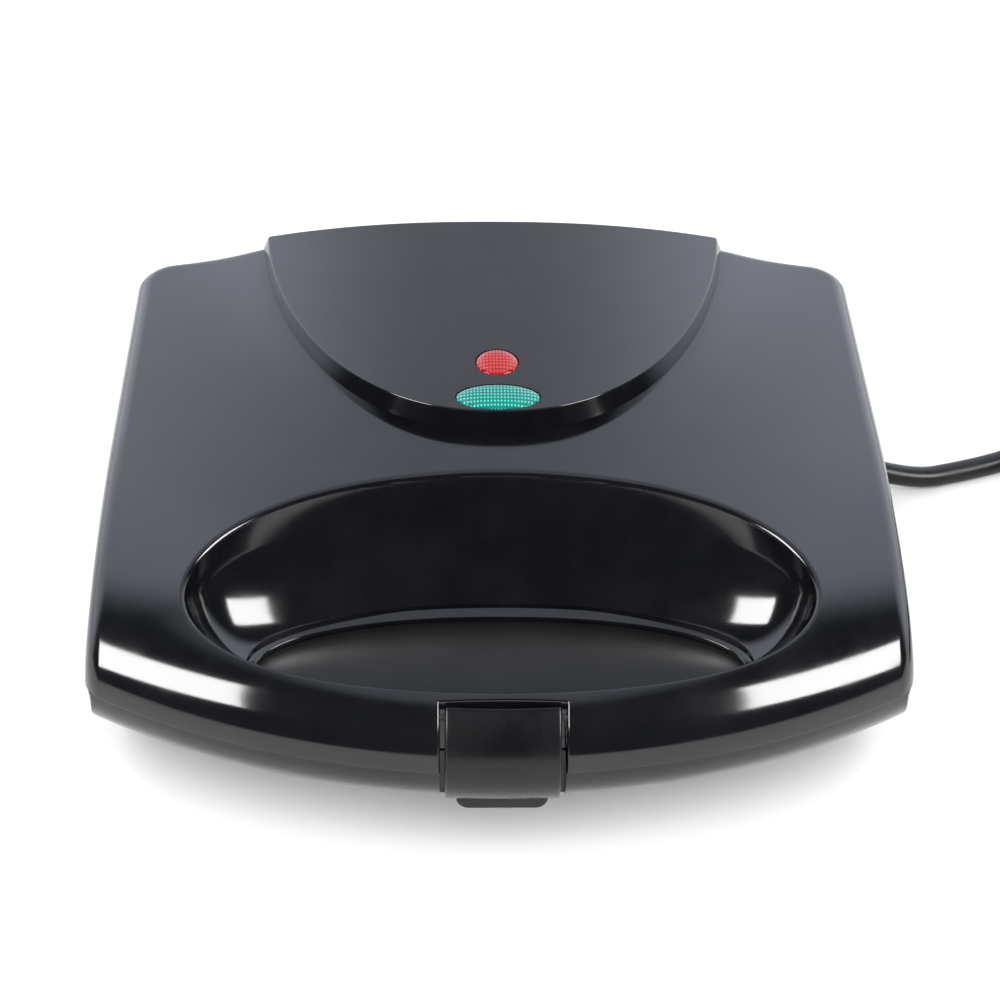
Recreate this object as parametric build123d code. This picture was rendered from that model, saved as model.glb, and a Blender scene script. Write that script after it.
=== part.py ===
from build123d import *
import math
import os

# Two-slice electric sandwich maker with a hinged lid, a front carrying handle and a swing latch.
# Millimetres. X runs to the right seen from the front, Y to the back, Z up. The feet stand on Z = 0
# and the origin is under the middle of the closed appliance, its cord apart.

# Casing in plan
CASE_WIDTH = 230.0          # over the lid's lip
FRONT_Y = -109.8            # foremost point of the curved front, at the seam
BACK_Y = 101.0              # back wall at the seam
FRONT_RADIUS = 210.0        # plan radius of the curved front
BACK_CORNER_R = 13.0
FRONT_CORNER_R = 5.0
WALL = 2.5
SIDE_DRAFT = 3.5            # degrees, lid walls lean in towards the top
BASE_DRAFT = 3.0            # degrees, base walls lean in towards the floor
SEAM_Z = 46.0
SEAM_GAP = 0.6              # between the two halves when shut
BASE_INSET = 1.0            # the base is this much smaller than the lid all round

# Lid top
LID_TOP_Z = 82.0            # on the centre line, before the raised panel
LID_CROWN = 3.0             # fall of the top at CROWN_AT from the centre line
CROWN_AT = 92.0
ROLL_DEPTH = 86.0           # front roll, horizontal half axis
ROLL_HEIGHT = LID_TOP_Z - SEAM_Z
SKIRT_RISE = 6.5            # the top flares up to the raised panel at the back
SKIRT_FADE = 17.0
SKIRT_FRONT_SHARE = 0.15
LID_EDGE_R = 4.5
LID_EDGE_STEEP = 0.85       # share of the edge's rounding that is modelled before the wall

# Raised panel
PANEL_HALF_WIDTH = 73.7
PANEL_DEPTH = 103.5
PANEL_POWER_X = 2.3
PANEL_POWER_Y = 1.6
PANEL_BACK_Z = 94.9
PANEL_SLOPE = 0.0485        # rise per millimetre towards the back
PANEL_CROWN = 6.4
PANEL_CROWN_POWER = 2.3
PANEL_STEP_TAPER = 22.0     # sides, degrees from upright
PANEL_FRONT_TAPER = 4.0
PANEL_FOOT_Z = 76.0         # the panel's block starts inside the lid at this height
PANEL_OUTLINE_Z = 84.0      # height at which the outline above is measured

# Hand scoop in the lid and the opening behind the handle
SCOOP_RIM_HALF = 93.0
SCOOP_RIM_FRONT = -97.7
SCOOP_RIM_REAR = -22.0
SCOOP_SIDE_Z = 70.0
SCOOP_FRONT_Z = 64.5
SCOOP_REAR_Z = 82.0
SCOOP_LIP_Z = 47.8
SCOOP_ROUND = 1.6           # power of the wall's curve, 2 is a quarter ellipse
OPENING_HALF = 68.0
OPENING_FRONT = -90.0
OPENING_REAR = -44.6
RIM_POWER = 2.2
OPENING_POWER = 2.0

# Finger dish in the base under the opening
DISH_MARGIN = 1.0           # the dish is this much wider than the opening
DISH_DEPTH = 14.4

# Base
BASE_FLOOR_Z = 6.0
BASE_FRONT_Y = -46.0        # front of the deep part of the base, behind the dish
BASE_EDGE_R = 5.0
GRIP_R = 17.8               # rounding of the lower handle, seam to underside
FOOT_R = 7.0
FOOT_STEM_R = 2.5
FOOT_STEM = 3.0
FOOT_X = 88.0
FOOT_FRONT_Y = -30.0
FOOT_BACK_Y = 84.0
STEM_CLEAR = 0.1

# Hinge
HINGE_Y = 105.8
HINGE_Z = SEAM_Z
KNUCKLE_R = 4.2
PIN_R = 2.0
PIN_CLEAR = 0.06
HINGE_X = 70.0              # middle of each hinge
BARREL_LENGTH = 14.0
EAR_THICK = 6.0
HINGE_SIDE_GAP = 0.5
PIN_END = 1.0               # pin stands out of each ear by this much

# Latch
LATCH_WIDTH = 31.0
LATCH_SIDE_GAP = 1.4
LATCH_TOP_Z = 62.2
LATCH_PROUD = 0.3
LATCH_THICK = 2.4
LATCH_PIVOT_Y = -101.3
LATCH_PIVOT_Z = 59.4
LATCH_BOSS_R = 1.7
LATCH_PIN_R = 0.8
LATCH_PIN_CLEAR = 0.05
LATCH_PIN_GRIP = 2.0        # pin in each side wall
SLOT_REAR_Y = -99.1
CATCH_PROUD = 0.9
CATCH_BOTTOM_Z = 34.5
CATCH_HEIGHT = 3.5
CATCH_WIDTH = 20.0
CATCH_CLEAR = 0.4
TAB_WIDTH = 25.0
TAB_BOTTOM_Z = 27.9
TAB_FRONT_Y = -103.2
TAB_CORNER_R = 3.4

# Cooking plates and their frames
PLATE_WIDTH = 212.0
PLATE_DEPTH = 120.0
PLATE_Y = 32.0
PLATE_CORNER_R = 7.0
PLATE_RIM = 2.0             # flange that hides behind the frame's lip
PLATE_FACE_BELOW_SEAM = 0.6
PLATE_WALL = 2.2
POCKET_DEPTH = 11.0
POCKET_TAPER = 12.0
POCKET_EDGE = 4.0           # land round each slice
POCKET_RIDGE = 7.0          # cutting ridge across the slice
POCKET_CORNER_R = 6.0
FRAME_THICK = 2.7
FRAME_LIP = 1.2
FRAME_CLEAR = 0.3
FRAME_EDGE = 0.8            # frame to casing wall

# Heating elements, clamps, reflectors
ELEMENT_R = 3.25
ELEMENT_LEG = 28.0          # half the distance between the two legs
ELEMENT_END_X = -100.3
ELEMENT_BEND_X = 62.0
ELEMENT_CLEAR = 0.1
INSULATOR_R = 4.6
INSULATOR_LENGTH = 6.5
CLAMP_THICK = 1.2
CLAMP_WIDTH = 12.0
CLAMP_SCREW_Y = 14.0        # each side of the plate's middle
CLAMP_BOSS_R = 3.6
REFLECTOR_THICK = 0.8
REFLECTOR_HALF = 98.0
REFLECTOR_EDGE = 8.0        # inside the plate's edge
REFLECTOR_WALL = 7.0

# Screws
SCREW_R = 1.5
SCREW_HEAD_R = 2.6
SCREW_HEAD = 1.6
SCREW_CLEAR = 0.15
SCREW_SLACK = 0.02
COVER_SCREW = 12.0
COVER_SCREW_R = 1.2
COVER_SCREW_HEAD_R = 1.9
COVER_SCREW_X = 108.5
COVER_SCREW_FRONT_Y = -38.0
COVER_SCREW_BACK_Y = 70.0
POST_R = 2.8
POST_LENGTH = 16.0
CLIP_X = 55.0
CLIP_WIDTH = 12.0
CLIP_THICK = 1.0
CLIP_REACH = 8.4
CLIP_END = 2.3              # clip beyond its screw, towards the frame
CLIP_SCREW = 2.4

# Indicator lamps
RED_LENS_Y = 21.6
RED_LENS_R = 6.2
GREEN_LENS_Y = 4.6
GREEN_LENS_HALF_X = 12.2
GREEN_LENS_HALF_Y = 5.9
LENS_CLEAR = 0.25
LENS_PROUD = 0.2
LENS_FLANGE = 1.6
LENS_FLANGE_THICK = 1.4
LAMP_R = 3.0
LAMP_LENGTH = 15.0
HOLDER_WIDTH = 34.0
HOLDER_HEIGHT = 9.0
HOLDER_TOP_Z = 84.8
HOLDER_WALL = 2.0
HOLDER_FRONT_Y = 3.6
HOLDER_BACK_Y = 31.0
HOLDER_MIDDLE_Y = 13.2      # wall between the two lamps
HOLDER_LUG_X = 22.0
HOLDER_LUG = (52.0, 8.0, 2.4)
HOLDER_SCREW_GRIP = 2.6
PEG_R = 3.0

# Thermostat, fuse, terminals, inner wires
THERMOSTAT_R = 8.5
THERMOSTAT_X = 48.0
FUSE_R = 2.4
FUSE_LENGTH = 30.0
FUSE_Y = 62.0
FUSE_CLIP_THICK = 0.8
FUSE_CLIP_WIDTH = 7.0
TERMINAL_SIZE = (30.0, 16.0, 11.0)
TERMINAL_X = 50.0
TERMINAL_Y = 66.0
WIRE_R = 1.3

# Mains cord, from the base's right side near the back to its plug
CORD_R = 3.5
GUARD_START = (104.0, 79.2, 18.0)
GUARD_END = (127.5, 81.0, 9.3)
CORD_ROUTE = ((158.5, 87.8, 3.5), (172.9, 93.3, 3.5))
GUARD_ROOT_R = 5.5
GUARD_TIP_R = 4.4
GUARD_FLANGE_R = 7.2
GUARD_FLANGE = 1.8
GUARD_NECK = 9.0            # full-width part outside the flange, through the wall
GUARD_GROOVES = 4
GUARD_GROOVE_STEP = 2.6
SHEATH_ROUTE = ((94.0, 78.9, 13.6), (73.0, 78.3, 12.1))
CORD_CLAMP_X = 78.0
CORD_CLAMP_LENGTH = 7.0
CORD_CLAMP_HALF = 12.0
CORD_CLAMP_THICK = 2.5
CORD_CLAMP_SCREW = 8.0      # from the cord's middle
CORD_CLAMP_PILOT = 1.5
COIL_CENTRE = (224.0, 66.0)
COIL_RADIUS = 44.0
COIL_PITCH = 7.6            # between turns, side by side
COIL_LAYER = 7.5            # between the two layers
COIL_LOW_Z = 4.5
COIL_START = 110.0          # degrees, clockwise from here
COIL_WHOLE_TURNS = 3
COIL_CLIMB = 0.5            # turns
COIL_STRAIGHT = 7.0
COIL_TAIL = 27.0            # straight end into the plug
CORD_FIRST = 15.0           # straight out of the guard
CORD_LAST = 16.0            # straight into the coil
TIE_ANGLE = -90.0
TIE_WIDTH = 6.0
TIE_THICK = 0.7
TIE_CLEAR = 0.3
PLUG_HALF_WIDTH = 18.0
PLUG_CORNER_R = 8.0
PLUG_EDGE_R = 2.5
PLUG_TAIL_R = 7.5
PLUG_LENGTH = 30.0
PLUG_TAIL = 14.0
PLUG_PIN_R = 2.4
PLUG_PIN = 19.0
PLUG_PIN_SPACING = 19.0

LID_BOTTOM_Z = SEAM_Z + SEAM_GAP / 2
BASE_TOP_Z = SEAM_Z - SEAM_GAP / 2
ARC_CENTRE_Y = FRONT_Y + FRONT_RADIUS
SEAM_PLANE = Plane.XY.offset(SEAM_Z)
GRIP_BOTTOM_Z = SEAM_Z - GRIP_R
LATCH_SLOT_HALF = LATCH_WIDTH / 2 + LATCH_SIDE_GAP
LATCH_HOOK_Y = SLOT_REAR_Y - CATCH_PROUD - CATCH_CLEAR
PLATE_FACE_Z = SEAM_Z - PLATE_FACE_BELOW_SEAM
PLATE_BACK_Z = PLATE_FACE_Z - POCKET_DEPTH - PLATE_WALL
ELEMENT_Z = PLATE_BACK_Z - ELEMENT_CLEAR - ELEMENT_R
CLAMP_TOP_Z = ELEMENT_Z - ELEMENT_R - ELEMENT_CLEAR
REFLECTOR_LOW_Z = CLAMP_TOP_Z - CLAMP_THICK - REFLECTOR_THICK
RED_LENS = (RED_LENS_Y, RED_LENS_R, RED_LENS_R)
GREEN_LENS = (GREEN_LENS_Y, GREEN_LENS_HALF_X, GREEN_LENS_HALF_Y)
HOLDER_Y = (HOLDER_FRONT_Y + HOLDER_BACK_Y) / 2
LAMP_YS = ((HOLDER_FRONT_Y + HOLDER_MIDDLE_Y) / 2 + 0.5, RED_LENS_Y)
LAMP_Z = HOLDER_TOP_Z - HOLDER_HEIGHT + HOLDER_WALL + LAMP_R + 0.1
BASE_INNER_Z = BASE_FLOOR_Z + WALL
COIL_TURNS = COIL_WHOLE_TURNS + COIL_START / 360
PLUG_HALF_HEIGHT = COIL_LOW_Z + COIL_LAYER
BIG = 400.0


def box_between(low, high):
    """A box from its lowest to its highest corner."""
    size = [h - l for l, h in zip(low, high)]
    middle = [(l + h) / 2 for l, h in zip(low, high)]
    return Pos(*middle) * Box(*size)


def rod(radius, start, end):
    """A round bar between two points."""
    path = Edge.make_line(start, end)
    plane = Plane(origin=start, z_dir=Vector(*end) - Vector(*start))
    return Solid.make_cylinder(radius, path.length, plane)


def upper(shape):
    """The lid's copy of a piece of the base, mirrored in the seam."""
    return mirror(shape, about=SEAM_PLANE)


def front_arc_y(x, inset=0.0):
    """Y of the curved front at a given X."""
    return ARC_CENTRE_Y - math.sqrt((FRONT_RADIUS - inset) ** 2 - x ** 2)


def case_outline(inset, extra_front=0.0):
    """The casing in plan, a given distance inside the lid's lip."""
    half = CASE_WIDTH / 2 - inset
    back = BACK_Y - inset
    low = -BIG / 2
    plan = Pos(0, (back + low) / 2) * Rectangle(2 * half, back - low)
    plan &= Pos(0, ARC_CENTRE_Y) * Circle(FRONT_RADIUS - inset + extra_front)
    corners = plan.vertices().sort_by(Axis.Y)
    plan = fillet(corners[2:], BACK_CORNER_R - inset)
    return fillet(plan.vertices().sort_by(Axis.Y)[:2], FRONT_CORNER_R)


def panel_level(x, y):
    """1 on the raised panel's outline, less inside, more outside."""
    back = max(0.0, (BACK_Y - y) / PANEL_DEPTH)
    return (abs(x) / PANEL_HALF_WIDTH) ** PANEL_POWER_X + back ** PANEL_POWER_Y


def lid_top_z(x, y):
    """Height of the lid's main surface, roll and panel apart."""
    crown = LID_TOP_Z - LID_CROWN * (x / CROWN_AT) ** 2
    away = PANEL_HALF_WIDTH * (panel_level(x, y) ** 0.5 - 1)
    soft = 0.5 * (away + math.hypot(away, 6.0))
    run = min(1.0, max(0.0, (y - FRONT_Y / 4) / (BACK_Y - FRONT_Y / 4)))
    share = SKIRT_FRONT_SHARE + (1 - SKIRT_FRONT_SHARE) * run ** 1.5
    fade = min(1.0, max(0.0, (y - FRONT_Y / 2) / 40.0))
    return crown + SKIRT_RISE * share * fade * math.exp(-soft / SKIRT_FADE)


def panel_top_z(x, y):
    """Height of the raised panel's face."""
    fall = PANEL_CROWN * (abs(x) / PANEL_HALF_WIDTH) ** PANEL_CROWN_POWER
    return PANEL_BACK_Z - PANEL_SLOPE * (BACK_Y - y) - fall


def spread(low, high, count):
    """Evenly spaced values, both ends included."""
    return [low + (high - low) * i / (count - 1) for i in range(count)]


def behind_surface(rows, reach):
    """The solid that a smooth surface through rows of points sweeps when it moves by reach."""
    face = Face.make_surface_from_array_of_points(rows, tol=0.05)
    return Solid.extrude(face, Vector(*reach))


def edge_drop(x, y):
    """Fall of the lid's surface over its rounded side and back edges."""
    lean = (LID_TOP_Z - SEAM_Z) * math.tan(math.radians(SIDE_DRAFT))
    side = abs(x) - (CASE_WIDTH / 2 - lean - BACK_CORNER_R)
    back = y - (BACK_Y - lean - BACK_CORNER_R)
    if min(side, back) > 0:
        inside = BACK_CORNER_R - math.hypot(side, back)
    else:
        inside = BACK_CORNER_R - max(side, back)
    left = LID_EDGE_R - inside
    if left <= 0:
        return 0.0
    steep = LID_EDGE_R * LID_EDGE_STEEP
    if left <= steep:
        return LID_EDGE_R - math.sqrt(LID_EDGE_R ** 2 - left ** 2)
    height = math.sqrt(LID_EDGE_R ** 2 - steep ** 2)
    return LID_EDGE_R - height + (left - steep) * steep / height


def edge_steps(edge, middle, count):
    """Values from just outside an edge to a middle, close together where the edge is round."""
    near = [edge + 5.0, edge + 1.5, edge, edge - 0.8, edge - 1.8]
    near += [edge - 3.0, edge - 4.5, edge - 6.5, edge - 10.0]
    return near + spread(edge - 16.0, middle, count)


def lid_body(shrink):
    """Everything under the lid's main surface, moved inwards by shrink."""
    lean = (LID_TOP_Z - SEAM_Z) * math.tan(math.radians(SIDE_DRAFT))
    right = edge_steps(CASE_WIDTH / 2 - lean, 0.0, 10)
    columns = [-x for x in right[:-1]] + right[::-1]
    rows = []
    for x in columns:
        front = front_arc_y(x)
        start = front + ROLL_DEPTH
        row = [(x, y, lid_top_z(x, y) - shrink - edge_drop(x, y))
               for y in edge_steps(BACK_Y - lean, start, 8)[:-1]]
        rise = lid_top_z(x, start) - shrink - SEAM_Z
        for angle in spread(0, math.pi / 2, 13):
            y = start - (ROLL_DEPTH - shrink) * math.sin(angle)
            row.append((x, y, SEAM_Z + rise * math.cos(angle) - edge_drop(x, y)))
        last = row[-1][2]
        row += [(x, front + shrink, last - below) for below in (8, 16, 24)]
        rows.append(row)
    return behind_surface(rows, (0, BIG / 2, -BIG / 2))


def panel_ring(half, depth, z):
    """The raised panel's outline at one height, carried on past the back wall."""
    points = []
    for along in spread(-1, 1, 17):
        angle = along * math.pi / 2
        x = half * math.copysign(abs(math.sin(angle)) ** (2 / PANEL_POWER_X), angle)
        points.append((x, BACK_Y - depth * math.cos(angle) ** (2 / PANEL_POWER_Y), z))
    back = BACK_Y + 20
    curve = Edge.make_spline(points, tangents=((0, -1, 0), (0, 1, 0)))
    corners = [(half, BACK_Y, z), (half, back, z), (-half, back, z), (-half, BACK_Y, z)]
    sides = [Edge.make_line(a, b) for a, b in zip(corners, corners[1:])]
    return Wire([curve] + sides)


def panel_body(shrink):
    """The raised panel's block, moved inwards by shrink."""
    run = PANEL_OUTLINE_Z - PANEL_FOOT_Z
    side = math.tan(math.radians(PANEL_STEP_TAPER))
    front = math.tan(math.radians(PANEL_FRONT_TAPER))
    half = PANEL_HALF_WIDTH + run * side - shrink
    depth = PANEL_DEPTH + run * front - shrink
    foot = panel_ring(half, depth, PANEL_FOOT_Z)
    head = panel_ring(half - 24 * side, depth - 24 * front, PANEL_FOOT_Z + 24)
    block = Solid.make_loft([foot, head], ruled=True)
    return block & panel_surface(-shrink)


def scoop_reach(z, rim_z):
    """How far the scoop's wall has got from the opening to the rim, 0 to 1."""
    share = min(1.0, max(0.0, (z - SCOOP_LIP_Z) / (rim_z - SCOOP_LIP_Z)))
    return (1 - (1 - share) ** SCOOP_ROUND) ** (1 / SCOOP_ROUND)


def scoop_ring(z, grow):
    """The scoop's level section, as a closed curve, made larger by grow."""
    level = z + grow
    side = grow * 0.7
    half = OPENING_HALF + (SCOOP_RIM_HALF - OPENING_HALF) * scoop_reach(level, SCOOP_SIDE_Z) + side
    front = OPENING_FRONT + (SCOOP_RIM_FRONT - OPENING_FRONT) * scoop_reach(level, SCOOP_FRONT_Z) - side
    rear = OPENING_REAR + (SCOOP_RIM_REAR - OPENING_REAR) * scoop_reach(level, SCOOP_REAR_Z) + side
    power = OPENING_POWER + (RIM_POWER - OPENING_POWER) * scoop_reach(level, SCOOP_REAR_Z)
    points = []
    for i in range(32):
        angle = 2 * math.pi * i / 32
        x = half * math.copysign(abs(math.cos(angle)) ** (2 / power), math.cos(angle))
        y = math.copysign(abs(math.sin(angle)) ** (2 / power), math.sin(angle)) * (rear - front) / 2
        points.append((x, (rear + front) / 2 + y, z))
    return Wire([Edge.make_spline(points, periodic=True)])


def scoop_cutter(grow):
    """The scoop from under the lid to above it."""
    lip = SCOOP_LIP_Z - grow
    heights = [lip] + [lip + step for step in (0.7, 2.2, 4.7, 8.2, 12.2, 16.7, 22.2, 28.2, 34.2)]
    bowl = Solid.make_loft([scoop_ring(z, grow) for z in heights], ruled=False)
    throat = Face(scoop_ring(lip, grow))
    shaft = Solid.extrude(throat, Vector(0, 0, -20))
    roof = Face(scoop_ring(heights[-1], grow))
    return bowl + shaft + Solid.extrude(roof, Vector(0, 0, 20))


def latch_slot(grow):
    """The room for the latch, through both handles."""
    half = LATCH_SLOT_HALF + grow
    return box_between((-half, -BIG / 2, GRIP_BOTTOM_Z - 10), (half, SLOT_REAR_Y + grow, LATCH_TOP_Z + 8))


def latch_pin_rod(radius):
    """A bar on the latch's axis, as long as its pin."""
    reach = LATCH_SLOT_HALF + LATCH_PIN_GRIP
    return rod(radius, (-reach, LATCH_PIVOT_Y, LATCH_PIVOT_Z), (reach, LATCH_PIVOT_Y, LATCH_PIVOT_Z))


def hinge_solid(middles, thick, web_low, web_high):
    """Knuckles round the hinge axis, each with a web to the casing between two (z, y) corners."""
    pieces = []
    for x in middles:
        pieces.append(rod(KNUCKLE_R, (x - thick / 2, HINGE_Y, HINGE_Z), (x + thick / 2, HINGE_Y, HINGE_Z)))
        low = (x - thick / 2, web_low[1], web_low[0])
        pieces.append(box_between(low, (x + thick / 2, web_high[1], web_high[0])))
    return pieces


def ear_middles():
    """X of the middle of each of the base's hinge ears."""
    offset_x = BARREL_LENGTH / 2 + HINGE_SIDE_GAP + EAR_THICK / 2
    return [side * HINGE_X + step * offset_x for side in (-1, 1) for step in (-1, 1)]


def hinge_bores(radius):
    """One long hole through each hinge."""
    reach = BARREL_LENGTH / 2 + HINGE_SIDE_GAP + EAR_THICK + 4
    ends = [(x - reach, x + reach) for x in (-HINGE_X, HINGE_X)]
    return [rod(radius, (low, HINGE_Y, HINGE_Z), (high, HINGE_Y, HINGE_Z)) for low, high in ends]


def cover_screw_places():
    """X and Y of the four screws that hold each frame in its cover."""
    rows = (COVER_SCREW_FRONT_Y, COVER_SCREW_BACK_Y)
    return [(side * COVER_SCREW_X, y) for side in (-1, 1) for y in rows]


def clamp_screw_ys():
    """Y of the two screws of a clamp bar."""
    return [PLATE_Y - CLAMP_SCREW_Y, PLATE_Y + CLAMP_SCREW_Y]


def posts(radius, low, high):
    """One upright round bar at each cover screw."""
    return [rod(radius, (x, y, low), (x, y, high)) for x, y in cover_screw_places()]


def lens_plug(centre_y, half_x, half_y, low, high):
    """An upright elliptic bar on the lid's centre line."""
    return extrude(Pos(0, centre_y, low) * Ellipse(half_x, half_y), high - low)


def lens_foot(centre_y, half_x, half_y):
    """Top of a lens's flange, just under the panel's skin."""
    return panel_top_z(half_x + LENS_FLANGE, centre_y - half_y) - WALL - 0.15


def lens_hole(centre_y, half_x, half_y):
    """A lens hole through the panel's face."""
    low = lens_foot(centre_y, half_x, half_y) - 0.15
    return lens_plug(centre_y, half_x + LENS_CLEAR, half_y + LENS_CLEAR, low, PANEL_BACK_Z + 5)


def panel_surface(rise):
    """Everything under the panel's face, moved up by rise."""
    reach = PANEL_HALF_WIDTH + 10
    rows = [[(x, y, panel_top_z(x, y) + rise) for y in spread(BACK_Y + 10, -20, 8)]
            for x in spread(-reach, reach, 21)]
    return behind_surface(rows, (0, 0, -BIG / 4))


def build_upper_cover():
    """The lid's moulded skin with its scoop, handle, hinge barrels and screw posts."""
    prism = extrude(Pos(0, 0, LID_BOTTOM_Z) * case_outline(0, 0.3), 60, taper=SIDE_DRAFT)
    outer = (prism & lid_body(0)) + (prism & panel_body(0))
    inner_prism = extrude(Pos(0, 0, LID_BOTTOM_Z - 1) * case_outline(WALL), 60, taper=SIDE_DRAFT)
    hollow = (inner_prism & lid_body(WALL)) + (inner_prism & panel_body(WALL))
    hollow = hollow - scoop_cutter(WALL) - latch_slot(WALL)
    cover = outer - hollow
    frame_top = LID_BOTTOM_Z + FRAME_THICK
    for stud in posts(POST_R, frame_top, frame_top + POST_LENGTH):
        cover += stud & outer
    for side in (-1, 1):
        cover += rod(PEG_R, (side * HOLDER_LUG_X, HOLDER_Y, HOLDER_TOP_Z),
                     (side * HOLDER_LUG_X, HOLDER_Y, PANEL_BACK_Z)) & outer
    cover = cover - scoop_cutter(0) - latch_slot(0) - lens_hole(*RED_LENS) - lens_hole(*GREEN_LENS)
    web_low = (HINGE_Z + 0.3, BACK_Y - WALL)
    web_high = (HINGE_Z + KNUCKLE_R + 5, HINGE_Y)
    cover += hinge_solid([-HINGE_X, HINGE_X], BARREL_LENGTH, web_low, web_high)
    holes = posts(COVER_SCREW_R, frame_top - 1, frame_top + COVER_SCREW)
    for cutter in hinge_bores(PIN_R + PIN_CLEAR) + holes:
        cover -= cutter
    for side in (-1, 1):
        cover -= rod(SCREW_R, (side * HOLDER_LUG_X, HOLDER_Y, HOLDER_TOP_Z - 1),
                     (side * HOLDER_LUG_X, HOLDER_Y, HOLDER_TOP_Z + HOLDER_SCREW_GRIP))
    return cover - latch_pin_rod(LATCH_PIN_R)


def grip_body(shrink):
    """Everything above and behind the lower handle's rounded front."""
    rows = []
    for x in spread(-CASE_WIDTH / 2 - 4, CASE_WIDTH / 2 + 4, 25):
        front = front_arc_y(x, BASE_INSET)
        row = [(x, front + shrink, SEAM_Z + above) for above in (24, 16, 8)]
        for angle in spread(0, math.pi / 2, 10):
            y = front + GRIP_R - (GRIP_R - shrink) * math.cos(angle)
            row.append((x, y, SEAM_Z - (GRIP_R - shrink) * math.sin(angle)))
        last = row[-1]
        row += [(x, last[1] + further, last[2]) for further in (15, 30, 50, 75)]
        rows.append(row)
    return behind_surface(rows, (0, BIG / 4, BIG / 4))


def base_shell(shrink):
    """The base's outer form, moved inwards by shrink: a deep box and the handle's shelf."""
    top = BASE_TOP_Z + (1 if shrink else 0)
    plan = case_outline(BASE_INSET + shrink, 0.3)
    prism = extrude(Pos(0, 0, top) * plan, -60, taper=BASE_DRAFT)
    shelf = prism & box_between((-BIG, -BIG, GRIP_BOTTOM_Z + shrink), (BIG, BASE_FRONT_Y + 12, top))
    shelf = shelf & grip_body(shrink)
    deep = prism & box_between((-BIG, BASE_FRONT_Y + shrink, BASE_FLOOR_Z + shrink), (BIG, BIG, top))
    return shelf + deep


def dish_cutter(grow):
    """The finger dish, a level-topped half ellipsoid under the lid's opening."""
    half_x = OPENING_HALF + DISH_MARGIN + grow
    half_y = (OPENING_REAR - OPENING_FRONT) / 2 + DISH_MARGIN + grow
    ball = scale(Sphere(1), by=(half_x, half_y, DISH_DEPTH + grow))
    return Pos(0, (OPENING_REAR + OPENING_FRONT) / 2, BASE_TOP_Z) * ball


def build_lower_cover():
    """The base's moulded shell with the finger dish, the catch, hinge ears and screw posts."""
    shell = base_shell(0)
    floor_edges = list(shell.edges().filter_by_position(Axis.Z, BASE_FLOOR_Z - 0.1, BASE_FLOOR_Z + 0.1))
    shell = fillet(floor_edges, BASE_EDGE_R)
    hollow = base_shell(WALL) - dish_cutter(WALL) - latch_slot(WALL)
    cover = shell - hollow - dish_cutter(0)
    post_top = BASE_TOP_Z - FRAME_THICK
    for stud in posts(POST_R, post_top - POST_LENGTH, post_top):
        cover += stud & shell
    cover -= latch_slot(0)
    cover += box_between((-CATCH_WIDTH / 2, SLOT_REAR_Y - CATCH_PROUD, CATCH_BOTTOM_Z),
                         (CATCH_WIDTH / 2, SLOT_REAR_Y + 0.5, CATCH_BOTTOM_Z + CATCH_HEIGHT))
    web_low = (HINGE_Z - 14, BACK_Y - BASE_INSET - WALL)
    web_high = (HINGE_Z, HINGE_Y + 0.5 * KNUCKLE_R)
    cover += hinge_solid(ear_middles(), EAR_THICK, web_low, web_high)
    for cutter in hinge_bores(PIN_R) + posts(COVER_SCREW_R, post_top - COVER_SCREW, post_top + 1):
        cover -= cutter
    for x, y in foot_places():
        cover -= rod(FOOT_STEM_R + STEM_CLEAR, (x, y, BASE_FLOOR_Z - 1), (x, y, BASE_FLOOR_Z + WALL + 1))
    for x, y in cord_clamp_screw_places():
        cover -= rod(SCREW_R, (x, y, BASE_INNER_Z - CORD_CLAMP_PILOT), (x, y, BASE_INNER_Z + 1))
    return cover - rod(GUARD_ROOT_R + STEM_CLEAR, GUARD_START, GUARD_END)


def frame_slab(inset):
    """The seam's slab inside the base's walls, before its windows are cut."""
    plan = case_outline(inset + WALL + FRAME_EDGE)
    return extrude(Pos(0, 0, BASE_TOP_Z) * plan, -FRAME_THICK)


def plate_plan(width, depth):
    """A rounded rectangle in the place of the cooking plate."""
    return Pos(0, PLATE_Y) * RectangleRounded(width, depth, PLATE_CORNER_R)


def cut_frame(slab):
    """Window, rebate and screw holes of a plate frame, made on the base's side of the seam."""
    margin = 2 * FRAME_CLEAR
    inner = plate_plan(PLATE_WIDTH - 2 * PLATE_RIM + margin, PLATE_DEPTH - 2 * PLATE_RIM + margin)
    outer = plate_plan(PLATE_WIDTH + margin, PLATE_DEPTH + margin)
    low = BASE_TOP_Z - FRAME_THICK
    frame = slab - extrude(Pos(0, 0, low - 1) * inner, FRAME_THICK + 2)
    frame -= extrude(Pos(0, 0, low - 1) * outer, FRAME_THICK - FRAME_LIP + 1)
    for x, y in cover_screw_places():
        frame -= rod(COVER_SCREW_R + SCREW_CLEAR, (x, y, low - 1), (x, y, BASE_TOP_Z + 1))
        head = COVER_SCREW_HEAD_R + SCREW_CLEAR
        frame -= rod(head, (x, y, BASE_TOP_Z - SCREW_HEAD), (x, y, BASE_TOP_Z + 1))
    for x, y in clip_screw_places():
        frame -= rod(SCREW_R, (x, y, low - 1), (x, y, low + CLIP_SCREW))
    return frame


def build_lower_frame():
    """The base's plate frame."""
    slab = frame_slab(BASE_INSET) - dish_cutter(WALL + FRAME_CLEAR) - latch_slot(WALL + FRAME_CLEAR)
    return cut_frame(slab)


def build_upper_frame():
    """The lid's plate frame."""
    slab = upper(frame_slab(BASE_INSET)) - scoop_cutter(WALL + FRAME_CLEAR) - latch_slot(WALL + FRAME_CLEAR)
    return upper(cut_frame(upper(slab)))


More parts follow.
